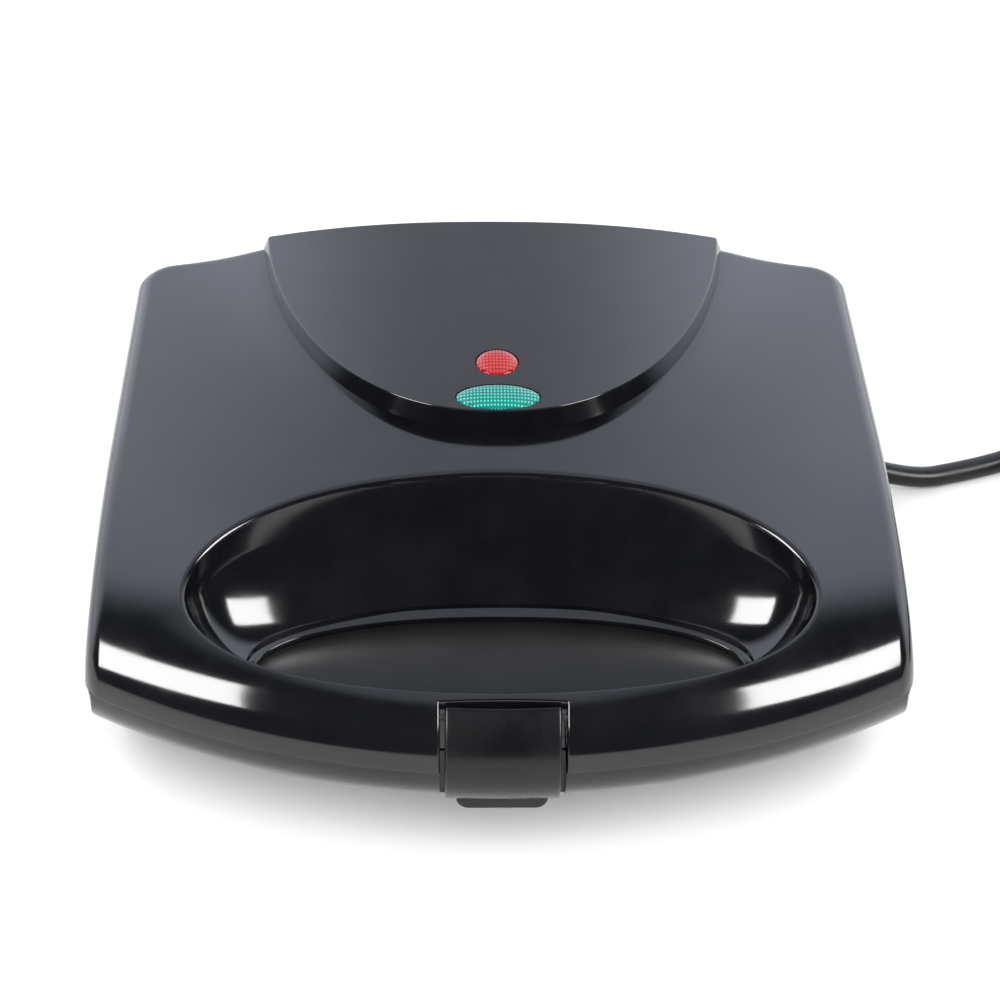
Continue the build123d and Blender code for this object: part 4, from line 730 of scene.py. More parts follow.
@dataclass
class CaseForm:
    """Sizes of the two-part case, in millimetres, and the surfaces that follow from them."""

    half_width: float = 115.0
    front_y: float = -109.8
    back_y: float = 101.0
    front_radius: float = 210.0
    back_corner: float = 13.0
    front_corner: float = 2.3
    side_draft: float = 3.5
    seam_z: float = 46.0
    seam_gap: float = 0.6
    top_z: float = 82.0
    crown: float = 3.0
    crown_at: float = 92.0
    roll_depth: float = 86.0
    skirt_rise: float = 6.5
    skirt_fade: float = 17.0
    skirt_front_share: float = 0.15
    edge_r: float = 4.5
    panel_half: float = 73.7
    panel_depth: float = 103.5
    panel_power_x: float = 2.3
    panel_power_y: float = 1.6

    def arc_y(self, x: np.ndarray) -> np.ndarray:
        """Y of the curved front at a given X."""
        return self.front_y + self.front_radius - np.sqrt(self.front_radius ** 2 - x ** 2)

    def panel_level(self, x: np.ndarray, y: np.ndarray) -> np.ndarray:
        """1 on the raised panel's outline, less inside, more outside."""
        behind = np.maximum(0.0, (self.back_y - y) / self.panel_depth)
        return (np.abs(x) / self.panel_half) ** self.panel_power_x + behind ** self.panel_power_y

    def top(self, x: np.ndarray, y: np.ndarray) -> np.ndarray:
        """Height of the lid's main surface behind the roll.

        Args:
            x: across, in millimetres.
            y: front to back.

        Returns:
            The height.
        """
        crown = self.top_z - self.crown * (x / self.crown_at) ** 2
        away = self.panel_half * (np.sqrt(self.panel_level(x, y)) - 1)
        soft = 0.5 * (away + np.hypot(away, 6.0))
        run = np.clip((y - self.front_y / 4) / (self.back_y - self.front_y / 4), 0.0, 1.0)
        share = self.skirt_front_share + (1 - self.skirt_front_share) * run ** 1.5
        fade = np.clip((y - self.front_y / 2) / 40.0, 0.0, 1.0)
        return crown + self.skirt_rise * share * fade * np.exp(-soft / self.skirt_fade)

    def roll_gap(self, x: np.ndarray, y: np.ndarray, z: np.ndarray) -> np.ndarray:
        """How deep a point lies under the lid's main surface or behind its front roll.

        Args:
            x: across, in millimetres.
            y: front to back.
            z: height.

        Returns:
            The depth, below 0 outside.
        """
        start = self.arc_y(x) + self.roll_depth
        rise = self.top(x, start) - self.seam_z
        lift = (z - self.seam_z) / rise
        ahead = np.maximum(0.0, (start - y) / self.roll_depth)
        slant = 1 + (x / (start - self.roll_depth - self.front_y - self.front_radius)) ** 2
        level = np.hypot(ahead, lift)
        steep = np.sqrt((ahead / self.roll_depth) ** 2 * slant + (lift / rise) ** 2)
        roll = level * (1 - level) / np.maximum(steep, 1e-9)
        return np.where(y < start, roll, self.top(x, y) - z)

    def side_gap(self, x: np.ndarray, y: np.ndarray, inset: float = 0.0) -> np.ndarray:
        """How far a point lies inside the side and back walls at the seam."""
        return soft_min(self.half_width - inset - np.abs(x), self.back_y - inset - y, self.back_corner)

    def arc_gap(self, x: np.ndarray, y: np.ndarray, inset: float = 0.0) -> np.ndarray:
        """How far a point lies behind the curved front."""
        middle = self.front_y + self.front_radius
        return self.front_radius - inset - np.hypot(x, y - middle)


@dataclass
class Columns:
    """Upright cutting planes round the hand opening: where each starts and which way it runs."""

    start_x: np.ndarray
    way: np.ndarray
    start_y: float = -59.85

    def points(self, reach: np.ndarray, z: np.ndarray) -> np.ndarray:
        """Points in space.

        Args:
            reach: distance from each column's start.
            z: height, of the same shape.

        Returns:
            X, Y and Z along the last axis.
        """
        x = self.start_x[:, None] + reach * np.sin(self.way)[:, None]
        y = self.start_y - reach * np.cos(self.way)[:, None]
        return np.stack([x, y, np.broadcast_to(z, x.shape)], -1)


def fan(marks: Sequence[tuple[float, float]]) -> np.ndarray:
    """Directions from 0 to 180 degrees, closer where the marks' steps are smaller.

    Args:
        marks: directions and the step there, both in degrees.

    Returns:
        The directions in radians.
    """
    at, step = zip(*marks)
    ways = [0.0]
    while ways[-1] < 180.0:
        ways.append(ways[-1] + float(np.interp(ways[-1], at, step)))
    ways[-1] = 180.0
    return np.radians(ways)


def crossing(columns: Columns, depth: Callable[..., np.ndarray], pivot: np.ndarray,
             pivot_z: float, angle: np.ndarray) -> np.ndarray:
    """Finds where rays from a pivot in each column leave a body.

    Args:
        columns: the cutting planes.
        depth: tells how deep a point lies in the body, below 0 outside it.
        pivot: the pivot's distance from each column's start.
        pivot_z: the pivot's height.
        angle: angles of the rays above level, one row for each column.

    Returns:
        Distance and height of each crossing, along the last axis.
    """
    inward = np.maximum(-np.cos(angle), 1e-6)
    near, beyond = np.zeros_like(angle), np.minimum(BEYOND, np.maximum(pivot, 1e-3)[:, None] / inward)
    for _ in range(26):
        middle = (near + beyond) / 2
        at = columns.points(pivot[:, None] + middle * np.cos(angle), pivot_z + middle * np.sin(angle))
        inside = depth(at[..., 0], at[..., 1], at[..., 2]) > 0
        near, beyond = np.where(inside, middle, near), np.where(inside, beyond, middle)
    return np.stack([pivot[:, None] + near * np.cos(angle), pivot_z + near * np.sin(angle)], -1)


def trace(columns: Columns, depth: Callable[..., np.ndarray], pivot: np.ndarray, pivot_z: float,
          first: np.ndarray, last: np.ndarray, count: int) -> np.ndarray:
    """Follows a body's surface in each column, closer where it bends.

    Args:
        columns: the cutting planes.
        depth: tells how deep a point lies in the body.
        pivot: the pivot's distance from each column's start.
        pivot_z: the pivot's height.
        first: the ray angle at which each column's line starts.
        last: the ray angle at which it ends.
        count: points on each line.

    Returns:
        Distance and height of each point, along the last axis.
    """
    bend_worth, tries = 9.0, 260
    share = np.linspace(0.0, 1.0, tries)
    angle = first[:, None] + (last - first)[:, None] * share
    for step in range(4):
        line = crossing(columns, depth, pivot, pivot_z, angle)
        if step == 3:
            break
        run = np.diff(line, axis=1)
        length = np.hypot(run[..., 0], run[..., 1])
        heading = np.unwrap(np.arctan2(run[..., 1], run[..., 0]), axis=1)
        turn = np.abs(np.diff(heading, axis=1))
        turn = np.pad(turn, ((0, 0), (1, 0))) + np.pad(turn, ((0, 0), (0, 1)))
        weight = np.minimum(length, 4.0) + bend_worth * np.minimum(turn / 2, 0.5)
        kernel = np.hanning(9) / np.hanning(9).sum()
        weight = np.array([np.convolve(w, kernel, "same") for w in weight]) + 0.01
        total = np.pad(np.cumsum(weight, axis=1), ((0, 0), (1, 0)))
        total /= total[:, -1:]
        goal = np.linspace(0.0, 1.0, count if step == 2 else tries)
        angle = np.array([np.interp(goal, t, a) for t, a in zip(total, angle)])
    return line


@dataclass
class LidSkin:
    """The lid's moulded shell: top, front roll, scoop with its rims, latch slot and hinge barrels."""

    form: CaseForm = field(default_factory=CaseForm)
    rim_half: float = 86.6
    rim_front: float = -97.1
    rim_rear: float = -22.0
    side_z: float = 69.9
    front_z: float = 64.5
    rear_z: float = 82.0
    lip_z: float = 47.8
    side_round: float = 1.6
    scoop_round: float = 1.19
    rear_lip: float = 0.05
    front_lip: float = 0.1
    opening_half: float = 68.0
    opening_front: float = -90.0
    opening_rear: float = -44.6
    rim_power: float = 1.91
    opening_power: float = 2.14
    rim_r: float = 1.2
    rim_r_side: float = 1.4
    rim_side_angle: float = -12.0
    rim_side_spread: float = 46.0
    lip_r: float = 0.6
    wall: float = 2.5
    slot_half: float = 16.9
    slot_rear_y: float = -99.1
    slot_edge_r: float = 0.8
    slide: float = 22.0
    hinge_y: float = 105.8
    knuckle_r: float = 4.2
    barrel: float = 14.0
    hinge_x: float = 70.0
    pin_hole_r: float = 2.0
    rows: int = 150

    @property
    def bottom_z(self) -> float:
        """Height of the lid's lower edge."""
        return self.form.seam_z + self.form.seam_gap / 2

    def reach(self, z: np.ndarray, rim_z: float, power: float, flat: float = 0.0) -> np.ndarray:
        """How far the scoop's wall has got from the opening to the rim, 0 to 1.

        Args:
            z: height.
            rim_z: height of the rim on this side.
            power: roundness of the wall, 1 is straight.
            flat: share of the way that the flat lip takes.

        Returns:
            The share of the way.
        """
        share = np.clip((z - self.lip_z) / (rim_z - self.lip_z), 0.0, 1.0)
        lip = flat * (1 - (1 - np.minimum(share / 0.045, 1.0)) ** 1.6) ** (1 / 1.6)
        return lip + (1 - flat) * (1 - (1 - share) ** power) ** (1 / power)

    def scoop_gap(self, x: np.ndarray, y: np.ndarray, z: np.ndarray) -> np.ndarray:
        """How far a point lies outside the scoop's wall at its height.

        Args:
            x: across, in millimetres.
            y: front to back.
            z: height.

        Returns:
            The distance, below 0 inside the scoop.
        """
        side = self.reach(z, self.side_z, self.side_round)
        half = self.opening_half + (self.rim_half - self.opening_half) * side
        ahead = self.reach(z, self.front_z, self.scoop_round, self.front_lip)
        front = self.opening_front + (self.rim_front - self.opening_front) * ahead
        behind = self.reach(z, self.rear_z, self.scoop_round, self.rear_lip)
        rear = self.opening_rear + (self.rim_rear - self.opening_rear) * behind
        power = self.opening_power + (self.rim_power - self.opening_power) * behind
        middle, deep = (front + rear) / 2, (rear - front) / 2
        level = (np.abs(x) / half) ** power + (np.abs(y - middle) / deep) ** power
        return np.hypot(x, y - middle) * (1 - np.maximum(level, 1e-9) ** (-1 / power))

    def rim_round(self, x: np.ndarray, y: np.ndarray) -> np.ndarray:
        """Radius of the rim, broad at both ends of the scoop and tight in front and behind.

        Args:
            x: across, in millimetres.
            y: front to back.

        Returns:
            The radius.
        """
        angle = np.degrees(np.arctan2(y - (self.rim_front + self.rim_rear) / 2, np.abs(x)))
        broad = np.exp(-((angle - self.rim_side_angle) / self.rim_side_spread) ** 2)
        return self.rim_r + (self.rim_r_side - self.rim_r) * broad

    def depth(self, x: np.ndarray, y: np.ndarray, z: np.ndarray) -> np.ndarray:
        """How deep a point lies in the lid's moulding, the latch slot left out.

        Args:
            x: across, in millimetres.
            y: front to back.
            z: height.

        Returns:
            The depth, below 0 outside.
        """
        lean = (z - self.form.seam_z) * math.tan(math.radians(self.form.side_draft))
        roll = self.form.roll_gap(x, y, z)
        shell = soft_min(roll, self.form.side_gap(x, y) - lean, self.form.edge_r)
        return soft_min(shell, 0.8 * self.scoop_gap(x, y, z), self.rim_round(x, y))

    def slot_depth(self, x: np.ndarray, y: np.ndarray, z: np.ndarray) -> np.ndarray:
        """The same with the latch slot's rear wall."""
        return soft_min(self.depth(x, y, z), y - self.slot_rear_y, 0.45)

    def right_columns(self) -> Columns:
        """Planes of the right half, from the slot's edge round to the back's middle.

        Returns:
            The cutting planes.
        """
        marks = [(0.0, 1.0), (66.0, 0.9), (74.0, 0.28), (88.0, 0.28), (97.0, 0.8), (138.0, 0.8),
                 (143.0, 0.3), (159.0, 0.3), (166.0, 0.8), (180.0, 0.8)]
        ways = fan(marks)
        front = np.linspace(self.slot_half + self.slot_edge_r, self.slide, 6)[:-1]
        back = np.linspace(self.slide, 0.0, 24)[1:]
        start = np.concatenate([front, np.full(len(ways), self.slide), back])
        way = np.concatenate([np.zeros(len(front)), ways, np.full(len(back), math.pi)])
        return Columns(start, way)

    def outline(self, columns: Columns, depth: Callable[..., np.ndarray]) -> np.ndarray:
        """Distance along each column at which a depth falls to 0.

        Args:
            columns: the cutting planes.
            depth: the depth at an X and a Y.

        Returns:
            One distance for each column.
        """
        near = np.full(len(columns.way), 5.0)
        beyond = np.full(len(columns.way), BEYOND)
        for _ in range(34):
            middle = (near + beyond) / 2
            at = columns.points(middle[:, None], np.full((len(middle), 1), self.bottom_z))
            inside = depth(at[..., 0], at[..., 1])[:, 0] > 0
            near, beyond = np.where(inside, middle, near), np.where(inside, beyond, middle)
        return near

    def ring_level(self, half: float, front: float, rear: float, power: float
                   ) -> Callable[[np.ndarray, np.ndarray], np.ndarray]:
        """Depth inside a rounded ring, for finding where columns cross it.

        Args:
            half: half the ring's width.
            front: its foremost Y.
            rear: its rearmost Y.
            power: how square it is, 2 is an ellipse.

        Returns:
            The function that gives the depth.
        """
        middle, deep = (front + rear) / 2, (rear - front) / 2

        def inside(x: np.ndarray, y: np.ndarray) -> np.ndarray:
            """Above 0 inside the ring."""
            return 1 - (np.abs(x) / half) ** power - (np.abs(y - middle) / deep) ** power

        return inside

    def sections(self, columns: Columns, depth: Callable[..., np.ndarray], slot: bool) -> np.ndarray:
        """The shell's cross-section in each column, from inside the opening to inside the wall.

        Args:
            columns: the cutting planes.
            depth: tells how deep a point lies in the moulding.
            slot: whether the columns end at the latch slot's rear wall.

        Returns:
            Distance and height of each point, one row for each column.
        """
        lip = self.outline(columns, self.ring_level(
            self.opening_half, self.opening_front, self.opening_rear, self.opening_power))
        rim = self.outline(columns, self.ring_level(
            self.rim_half, self.rim_front, self.rim_rear, self.rim_power))
        edge = self.outline(columns, lambda x, y: soft_min(
            self.form.side_gap(x, y), self.form.arc_gap(x, y), self.form.front_corner)
            if not slot else y - self.slot_rear_y)
        low = self.bottom_z
        pivot = rim + 0.35 * (edge - rim)
        start = lip + self.lip_r
        first = np.arctan2(self.lip_z - low, start - pivot)
        line = trace(columns, depth, pivot, low, first, np.zeros_like(first), self.rows)
        line[:, 0, 0], line[:, 0, 1] = start, self.lip_z
        inner = [(self.wall, low + 4.0), (self.wall, low + 0.25), (self.wall - 0.25, low),
                 (0.3, low), (0.08, low + 0.08), (0.0, low + 0.3)]
        inner += [(self.lip_r * (1 - math.cos(a)), self.lip_z - self.lip_r * (1 - math.sin(a)))
                  for a in np.radians([0.0, 22.5, 45.0, 67.5])]
        outer = [(0.0, low + 0.3), (0.1, low + 0.1), (0.3, low), (self.wall - 0.2, low),
                 (self.wall, low + 0.2), (self.wall, low + 5.0)]
        last = line[:, -1, 0]
        line = line[:, :-1]
        line[:, -6:, 1] = np.maximum(line[:, -6:, 1], low + 0.35)
        return np.concatenate([
            np.stack([np.stack([lip + out, np.full_like(lip, z)], -1) for out, z in inner], 1), line,
            np.stack([np.stack([last - back, np.full_like(last, z)], -1) for back, z in outer], 1)], 1)

    def strip(self, name: str, points: np.ndarray) -> bpy.types.Object:
        """A mesh over rows of points."""
        return new_mesh_object(name, points.reshape(-1, 3), grid_faces(*points.shape[:2]))

    def main_points(self) -> np.ndarray:
        """Rows of points of the shell all round, open where the latch slot is.

        Returns:
            Rows of points.
        """
        right = self.right_columns()
        section = self.sections(right, self.depth, slot=False)
        points = right.points(section[..., 0], section[..., 1])
        return np.concatenate([points, points[::-1][1:] * np.array([-1.0, 1.0, 1.0])], 0)

    def slot_back_points(self) -> np.ndarray:
        """The strip behind the latch: scoop wall, narrow top and the slot's rear wall.

        Returns:
            Rows of points.
        """
        half = self.slot_half + self.slot_edge_r
        columns = Columns(np.linspace(-half, half, 25), np.zeros(25))
        section = self.sections(columns, self.slot_depth, slot=True)
        return columns.points(section[..., 0], section[..., 1])

    def slot_side_points(self, line: np.ndarray, side: int) -> np.ndarray:
        """A rounded edge and the flat wall beside the latch.

        Args:
            line: the shell's cross-section next to the slot.
            side: 1 for the right wall, -1 for the left.

        Returns:
            The wall's rows of points.
        """
        rear = self.slot_rear_y + 0.3
        keep = line[(line[:, 1] < rear) & (line[:, 2] > self.bottom_z - 0.01)]
        inward = square_to(keep[:, 1:])
        if inward[len(inward) // 2, 0] < 0:
            inward = -inward
        rows = []
        for turn in np.linspace(0.0, math.pi / 2, 7):
            row = keep.copy()
            row[:, 0] = self.slot_half + self.slot_edge_r * (1 - math.sin(turn))
            row[:, 1:] += inward * self.slot_edge_r * (1 - math.cos(turn))
            rows.append(row)
        for share in (0.35, 1.0):
            row = rows[6].copy()
            row[:, 1] += (np.maximum(rear, row[:, 1]) - row[:, 1]) * share
            rows.append(row)
        points = np.stack(rows)
        points[..., 2] = np.maximum(points[..., 2], self.bottom_z)
        points[..., 0] *= side
        return points

    def build_barrel(self, middle_x: float) -> bpy.types.Object:
        """One hinge knuckle with its web to the back wall and its pin hole.

        Args:
            middle_x: X of the knuckle's middle.

        Returns:
            The mesh object.
        """
        axis = np.array([self.hinge_y, self.form.seam_z])
        root, low = self.form.back_y - self.wall, self.form.seam_z + 0.3
        high = self.form.seam_z + self.knuckle_r + 5.0
        turns = np.radians([*np.linspace(90, -90, 25), *np.linspace(-97, -175, 11)])
        knuckle = axis + self.knuckle_r * np.stack([np.cos(turns), np.sin(turns)], -1)
        ring = [(root, high), (self.hinge_y, high), *knuckle, (self.hinge_y - self.knuckle_r, low), (root, low)]
        sides = (middle_x - self.barrel / 2, middle_x + self.barrel / 2)
        points = np.array([(x, y, z) for x in sides for y, z in ring])
        name = f"lid_barrel_{'left' if middle_x < 0 else 'right'}"
        barrel = new_mesh_object(name, points, ring_faces(2, len(ring)), smooth=False)
        weld(barrel, 0.0001)
        bpy.ops.mesh.primitive_cylinder_add(
            radius=self.pin_hole_r * MM, depth=(self.barrel + 4) * MM, vertices=48,
            location=(middle_x * MM, *(axis * MM)), rotation=(0, math.pi / 2, 0))
        carve(barrel, bpy.context.object)
        return barrel

    def build(self) -> list[bpy.types.Object]:
        """Builds, welds and dresses the shell.

        Returns:
            The shell and its two hinge barrels.
        """
        around = self.main_points()
        parts = [self.strip("lid_shell", around), self.strip("slot_rear_wall", self.slot_back_points())]
        parts += [self.strip("slot_side_wall", self.slot_side_points(around[0], side)) for side in (1, -1)]
        shell = parts[0]
        with bpy.context.temp_override(active_object=shell, selected_editable_objects=parts):
            bpy.ops.object.join()
        weld(shell)
        true_normals(shell, (self.depth, self.slot_depth))
        pieces = [shell] + [self.build_barrel(side * self.hinge_x) for side in (-1, 1)]
        for piece in pieces:
            place_piece(piece, Finishes.CASING, "lid", "casing", "upper_cover")
        return pieces


@dataclass(frozen=True)
class LensForm:
    """One lamp lens: its CAD node, finish, place and half sizes in millimetres."""

    node: str
    finish: Finishes
    middle_y: float
    half_x: float
    half_y: float


LENSES = (LensForm("red_lens", Finishes.RED_LENS, 21.6, 6.2, 6.2),
          LensForm("green_lens", Finishes.GREEN_LENS, 4.6, 12.2, 5.9))


@dataclass
class PanelSkin:
    """The raised panel on the lid with its stepped sides and lens holes."""

    form: CaseForm = field(default_factory=CaseForm)
    back_z: float = 94.9
    slope: float = 0.0485
    crown: float = 6.4
    crown_power: float = 2.3
    side_taper: float = 22.0
    front_taper: float = 4.0
    outline_z: float = 84.0
    foot_z: float = 76.0
    edge_r: float = 0.4
    middle_y: float = 50.0
    lens_gap: float = 0.25
    rows: int = 90

    def face(self, x: np.ndarray, y: np.ndarray) -> np.ndarray:
        """Height of the panel's face."""
        fall = self.crown * (np.abs(x) / self.form.panel_half) ** self.crown_power
        return self.back_z - self.slope * (self.form.back_y - y) - fall

    def depth(self, x: np.ndarray, y: np.ndarray, z: np.ndarray) -> np.ndarray:
        """How deep a point lies in the panel's block.

        Args:
            x: across, in millimetres.
            y: front to back.
            z: height.

        Returns:
            The depth, below 0 outside.
        """
        drop = self.outline_z - z
        half = self.form.panel_half + drop * math.tan(math.radians(self.side_taper))
        deep = self.form.panel_depth + drop * math.tan(math.radians(self.front_taper))
        behind = np.maximum(0.0, (self.form.back_y - y) / deep)
        level = (np.abs(x) / half) ** self.form.panel_power_x + behind ** self.form.panel_power_y
        steep = np.hypot(self.form.panel_power_x * (np.abs(x) / half) ** (self.form.panel_power_x - 1) / half,
                         self.form.panel_power_y * behind ** (self.form.panel_power_y - 1) / deep)
        side = (1 - level) / np.maximum(steep, 1e-3)
        lean = (z - self.form.seam_z) * math.tan(math.radians(self.form.side_draft))
        block = soft_min(self.face(x, y) - z, side, self.edge_r)
        return soft_min(block, self.form.back_y - lean - y, 1.2)

    def columns(self) -> Columns:
        """Planes all round from the panel's middle.

        Returns:
            The cutting planes.
        """
        half = fan([(0.0, 1.2), (90.0, 1.2), (108.0, 0.6), (125.0, 0.5), (136.0, 1.2), (180.0, 1.2)])
        way = np.concatenate([half, -half[::-1][1:-1]])
        return Columns(np.zeros(len(way)), way, self.middle_y)

    def build(self) -> list[bpy.types.Object]:
        """Builds the panel as one closed block and opens its lens holes.

        Returns:
            The panel's piece.
        """
        columns = self.columns()
        count = len(columns.way)
        pivot = np.zeros(count)
        first = np.full(count, math.radians(89.0))
        line = trace(columns, self.depth, pivot, self.foot_z, first, np.zeros(count), self.rows)
        points = columns.points(line[..., 0], line[..., 1]).reshape(-1, 3)
        faces = grid_faces(count, self.rows, closed=True)
        top = len(points)
        centre = np.array([[0.0, self.middle_y, float(self.face(np.float64(0), np.float64(self.middle_y)))],
                           [0.0, self.middle_y, self.foot_z]])
        points = np.concatenate([points, centre])
        for i in range(count):
            j = (i + 1) % count
            faces.append((top, i * self.rows, j * self.rows))
            faces.append((top + 1, i * self.rows + self.rows - 1, j * self.rows + self.rows - 1))
        panel = new_mesh_object("lid_panel", points, faces)
        weld(panel, 0.001)
        for lens in LENSES:
            self.open_hole(panel, lens.middle_y, lens.half_x + self.lens_gap, lens.half_y + self.lens_gap)
        true_normals(panel, (self.depth,))
        place_piece(panel, Finishes.CASING, "lid", "casing", "upper_cover")
        return [panel]

    def open_hole(self, panel: bpy.types.Object, y: float, half_x: float, half_y: float) -> None:
        """Cuts one lens hole.

        Args:
            panel: the panel's closed mesh.
            y: the hole's middle.
            half_x: half its width.
            half_y: half its depth.
        """
        count = 96
        turns = np.linspace(0.0, 2 * math.pi, count + 1)[:-1]
        ring = [(half_x * math.cos(t), y + half_y * math.sin(t)) for t in turns]
        points = np.array([(a, b, z) for z in (self.foot_z + 4.0, self.back_z + 15.1) for a, b in ring])
        carve(panel, new_mesh_object("hole_cutter", points, ring_faces(2, count)))


@dataclass
class LensSkin:
    """The domed lamp lenses that sit in their holes in the panel."""

    panel: PanelSkin = field(default_factory=PanelSkin)
    sunk: float = 0.3
    dome: float = 1.25
    skirt: float = 2.5
    count: int = 72

    def build_lens(self, form: LensForm) -> bpy.types.Object:
        """Builds a lens as rings from its middle to its skirt.

        Args:
            form: the lens's place and size.

        Returns:
            The lens's piece.
        """
        turns = np.linspace(0.0, 2 * math.pi, self.count + 1)[:-1]
        rows = []
        for share in np.sin(np.linspace(0.0, math.pi / 2, 16))[1:]:
            x = form.half_x * share * np.cos(turns)
            y = form.middle_y + form.half_y * share * np.sin(turns)
            lift = self.dome * (1 - share ** 3) ** 0.6 - self.sunk
            rows.append(np.stack([x, y, self.panel.face(x, y) + lift], -1))
        rows.append(rows[-1] - np.array([0.0, 0.0, self.skirt]))
        top_z = float(self.panel.face(np.zeros(1), np.full(1, form.middle_y))[0]) + self.dome - self.sunk
        ends = [(0.0, form.middle_y, top_z), (0.0, form.middle_y, float(rows[-1][:, 2].mean()))]
        points = np.concatenate(rows + [np.array(ends)])
        top, low = len(points) - 2, (len(rows) - 1) * self.count
        faces = ring_faces(len(rows), self.count, caps=False)
        for k in range(self.count):
            after = (k + 1) % self.count
            faces += [(top, after, k), (top + 1, low + k, low + after)]
        lens = new_mesh_object(f"{form.node}_dome", points, faces)
        weld(lens, 0.0001)
        place_piece(lens, form.finish, "lid", form.node, form.node)
        return lens

    def build(self) -> list[bpy.types.Object]:
        """Builds both lenses."""
        return [self.build_lens(form) for form in LENSES]


@dataclass
class LatchSkin:
    """The swing latch with rounded edges, its hook, pivot boss and finger tab."""

    form: CaseForm = field(default_factory=CaseForm)
    half: float = 15.5
    proud: float = 0.3
    top_z: float = 62.2
    grip_r: float = 17.8
    thick: float = 2.4
    tab_y: float = -103.2
    tab_half: float = 12.5
    tab_low_z: float = 27.9
    tab_corner: float = 3.4
    shoulder_z: float = 31.8
    hook_y: float = -100.4
    hook_z: float = 34.1
    pivot: tuple[float, float] = (-101.3, 59.4)
    boss_r: float = 1.7
    edge_r: float = 0.75

    def side_view(self) -> np.ndarray:
        """The closed side view as Y and Z, from the top down the front and up the inside.

        Returns:
            One row of Y and Z for each point.
        """
        start = self.form.front_y + self.form.roll_depth
        seam = self.form.seam_z
        deep, rise = self.form.roll_depth + self.proud, self.top_z - seam
        height = self.form.top_z - seam + self.proud
        front = [(start - deep * math.sqrt(1 - ((z - seam) / height) ** 2), z)
                 for z in np.linspace(self.top_z - 0.35, seam, int(rise * 1.5))]
        centre, outer = self.form.front_y + self.grip_r, self.grip_r + self.proud
        last = math.acos((centre - self.tab_y) / outer)
        front += [(centre - outer * math.cos(a), seam - outer * math.sin(a))
                  for a in np.linspace(0, last, 22)[1:]]
        inner = outer - self.thick
        back = [(self.tab_y + 0.5, self.shoulder_z - 0.1), (self.hook_y - 0.3, self.shoulder_z - 0.1),
                (self.hook_y, self.shoulder_z + 0.2), (self.hook_y, self.hook_z - 0.3),
                (self.hook_y - 0.3, self.hook_z)]
        back += [(centre - inner * math.cos(a), seam - inner * math.sin(a))
                 for a in np.linspace(math.asin(0.72), 0, 14)]
        back += [(centre - inner + 0.7, seam + 4.5), (self.pivot[0] - 3.6, self.pivot[1] - 4.6)]
        back += [(self.pivot[0] + self.boss_r * math.cos(a), self.pivot[1] + self.boss_r * math.sin(a))
                 for a in np.radians(np.linspace(-140, 45, 12))]
        back += [(front[0][0] + 0.35, self.top_z - 0.05), (front[0][0] + 0.1, self.top_z - 0.12)]
        return np.array(front + back)

    def columns(self) -> list[tuple[float, float]]:
        """X of each cross-section with how far its outline is drawn in at the rounded edges.

        Returns:
            Pairs of X and inset.
        """
        edge = [(self.half - self.edge_r * (1 - math.sin(a)), self.edge_r * (1 - math.cos(a)))
                for a in np.linspace(0, math.pi / 2, 7)]
        inner = self.half - self.edge_r
        middle = [(x, 0.0) for x in np.linspace(-inner, inner, 25)[1:-1]]
        return [(-x, inset) for x, inset in reversed(edge)] + middle + edge

    def bent(self, x: np.ndarray, y: np.ndarray, z: np.ndarray) -> np.ndarray:
        """Points moved back along the front's curve."""
        axis_y = self.form.front_y + self.form.front_radius
        return np.stack([x, axis_y - np.sqrt((axis_y - y) ** 2 - x ** 2), z], -1)

    def build_body(self) -> bpy.types.Object:
        """The latch's body: its side view swept across, with rounded ends.

        Returns:
            The mesh object.
        """
        outline = self.side_view()
        outward = square_to(np.concatenate([outline[-1:], outline, outline[:1]]))[1:-1]
        area = (outline[:, 0] * np.roll(outline[:, 1], -1) - np.roll(outline[:, 0], -1) * outline[:, 1]).sum()
        if area < 0:
            outward = -outward
        rows = []
        for x, inset in self.columns():
            flat = outline - outward * inset
            rows.append(self.bent(np.full(len(flat), x), flat[:, 0], flat[:, 1]))
        piece = new_mesh_object("latch_body", np.concatenate(rows), ring_faces(len(rows), len(outline)))
        weld(piece, 0.0001)
        return piece

    def build_tab(self) -> bpy.types.Object:
        """The finger tab: a plate with two rounded lower corners and softened edges.

        Returns:
            The mesh object.
        """
        soft = 0.45
        reach, low = self.tab_half - self.tab_corner, self.tab_low_z + self.tab_corner
        corner = [(reach + self.tab_corner * math.cos(a), low - self.tab_corner * math.sin(a))
                  for a in np.radians(np.linspace(0, 90, 9))]
        ring = [(self.tab_half, self.shoulder_z + 1)] + corner
        ring = np.array(ring + [(-x, z) for x, z in reversed(ring)])
        inward = square_to(ring)
        if inward[len(ring) // 2, 1] < 0:
            inward = -inward
        turns = np.radians(np.linspace(0, 90, 5))
        rows = []
        for start, way, steps in ((self.tab_y + 0.2, 1, turns), (self.hook_y, -1, turns[::-1])):
            for a in steps:
                flat = ring + inward * soft * (1 - math.sin(a))
                y = np.full(len(flat), start + way * soft * (1 - math.cos(a)))
                rows.append(self.bent(flat[:, 0], y, flat[:, 1]))
        count = len(ring)
        faces = grid_faces(len(rows), count)
        faces += [tuple(range(count)), tuple((len(rows) - 1) * count + k for k in range(count - 1, -1, -1))]
        piece = new_mesh_object("latch_tab", np.concatenate(rows), faces)
        weld(piece, 0.0001)
        return piece

    def build(self) -> list[bpy.types.Object]:
        """Builds and dresses the latch.

        Returns:
            The latch's pieces.
        """
        pieces = [self.build_body(), self.build_tab()]
        for piece in pieces:
            piece.modifiers.new("edges", "EDGE_SPLIT").split_angle = math.radians(50)
            place_piece(piece, Finishes.LATCH, "latch", "latch_plastic", "latch")
        return pieces


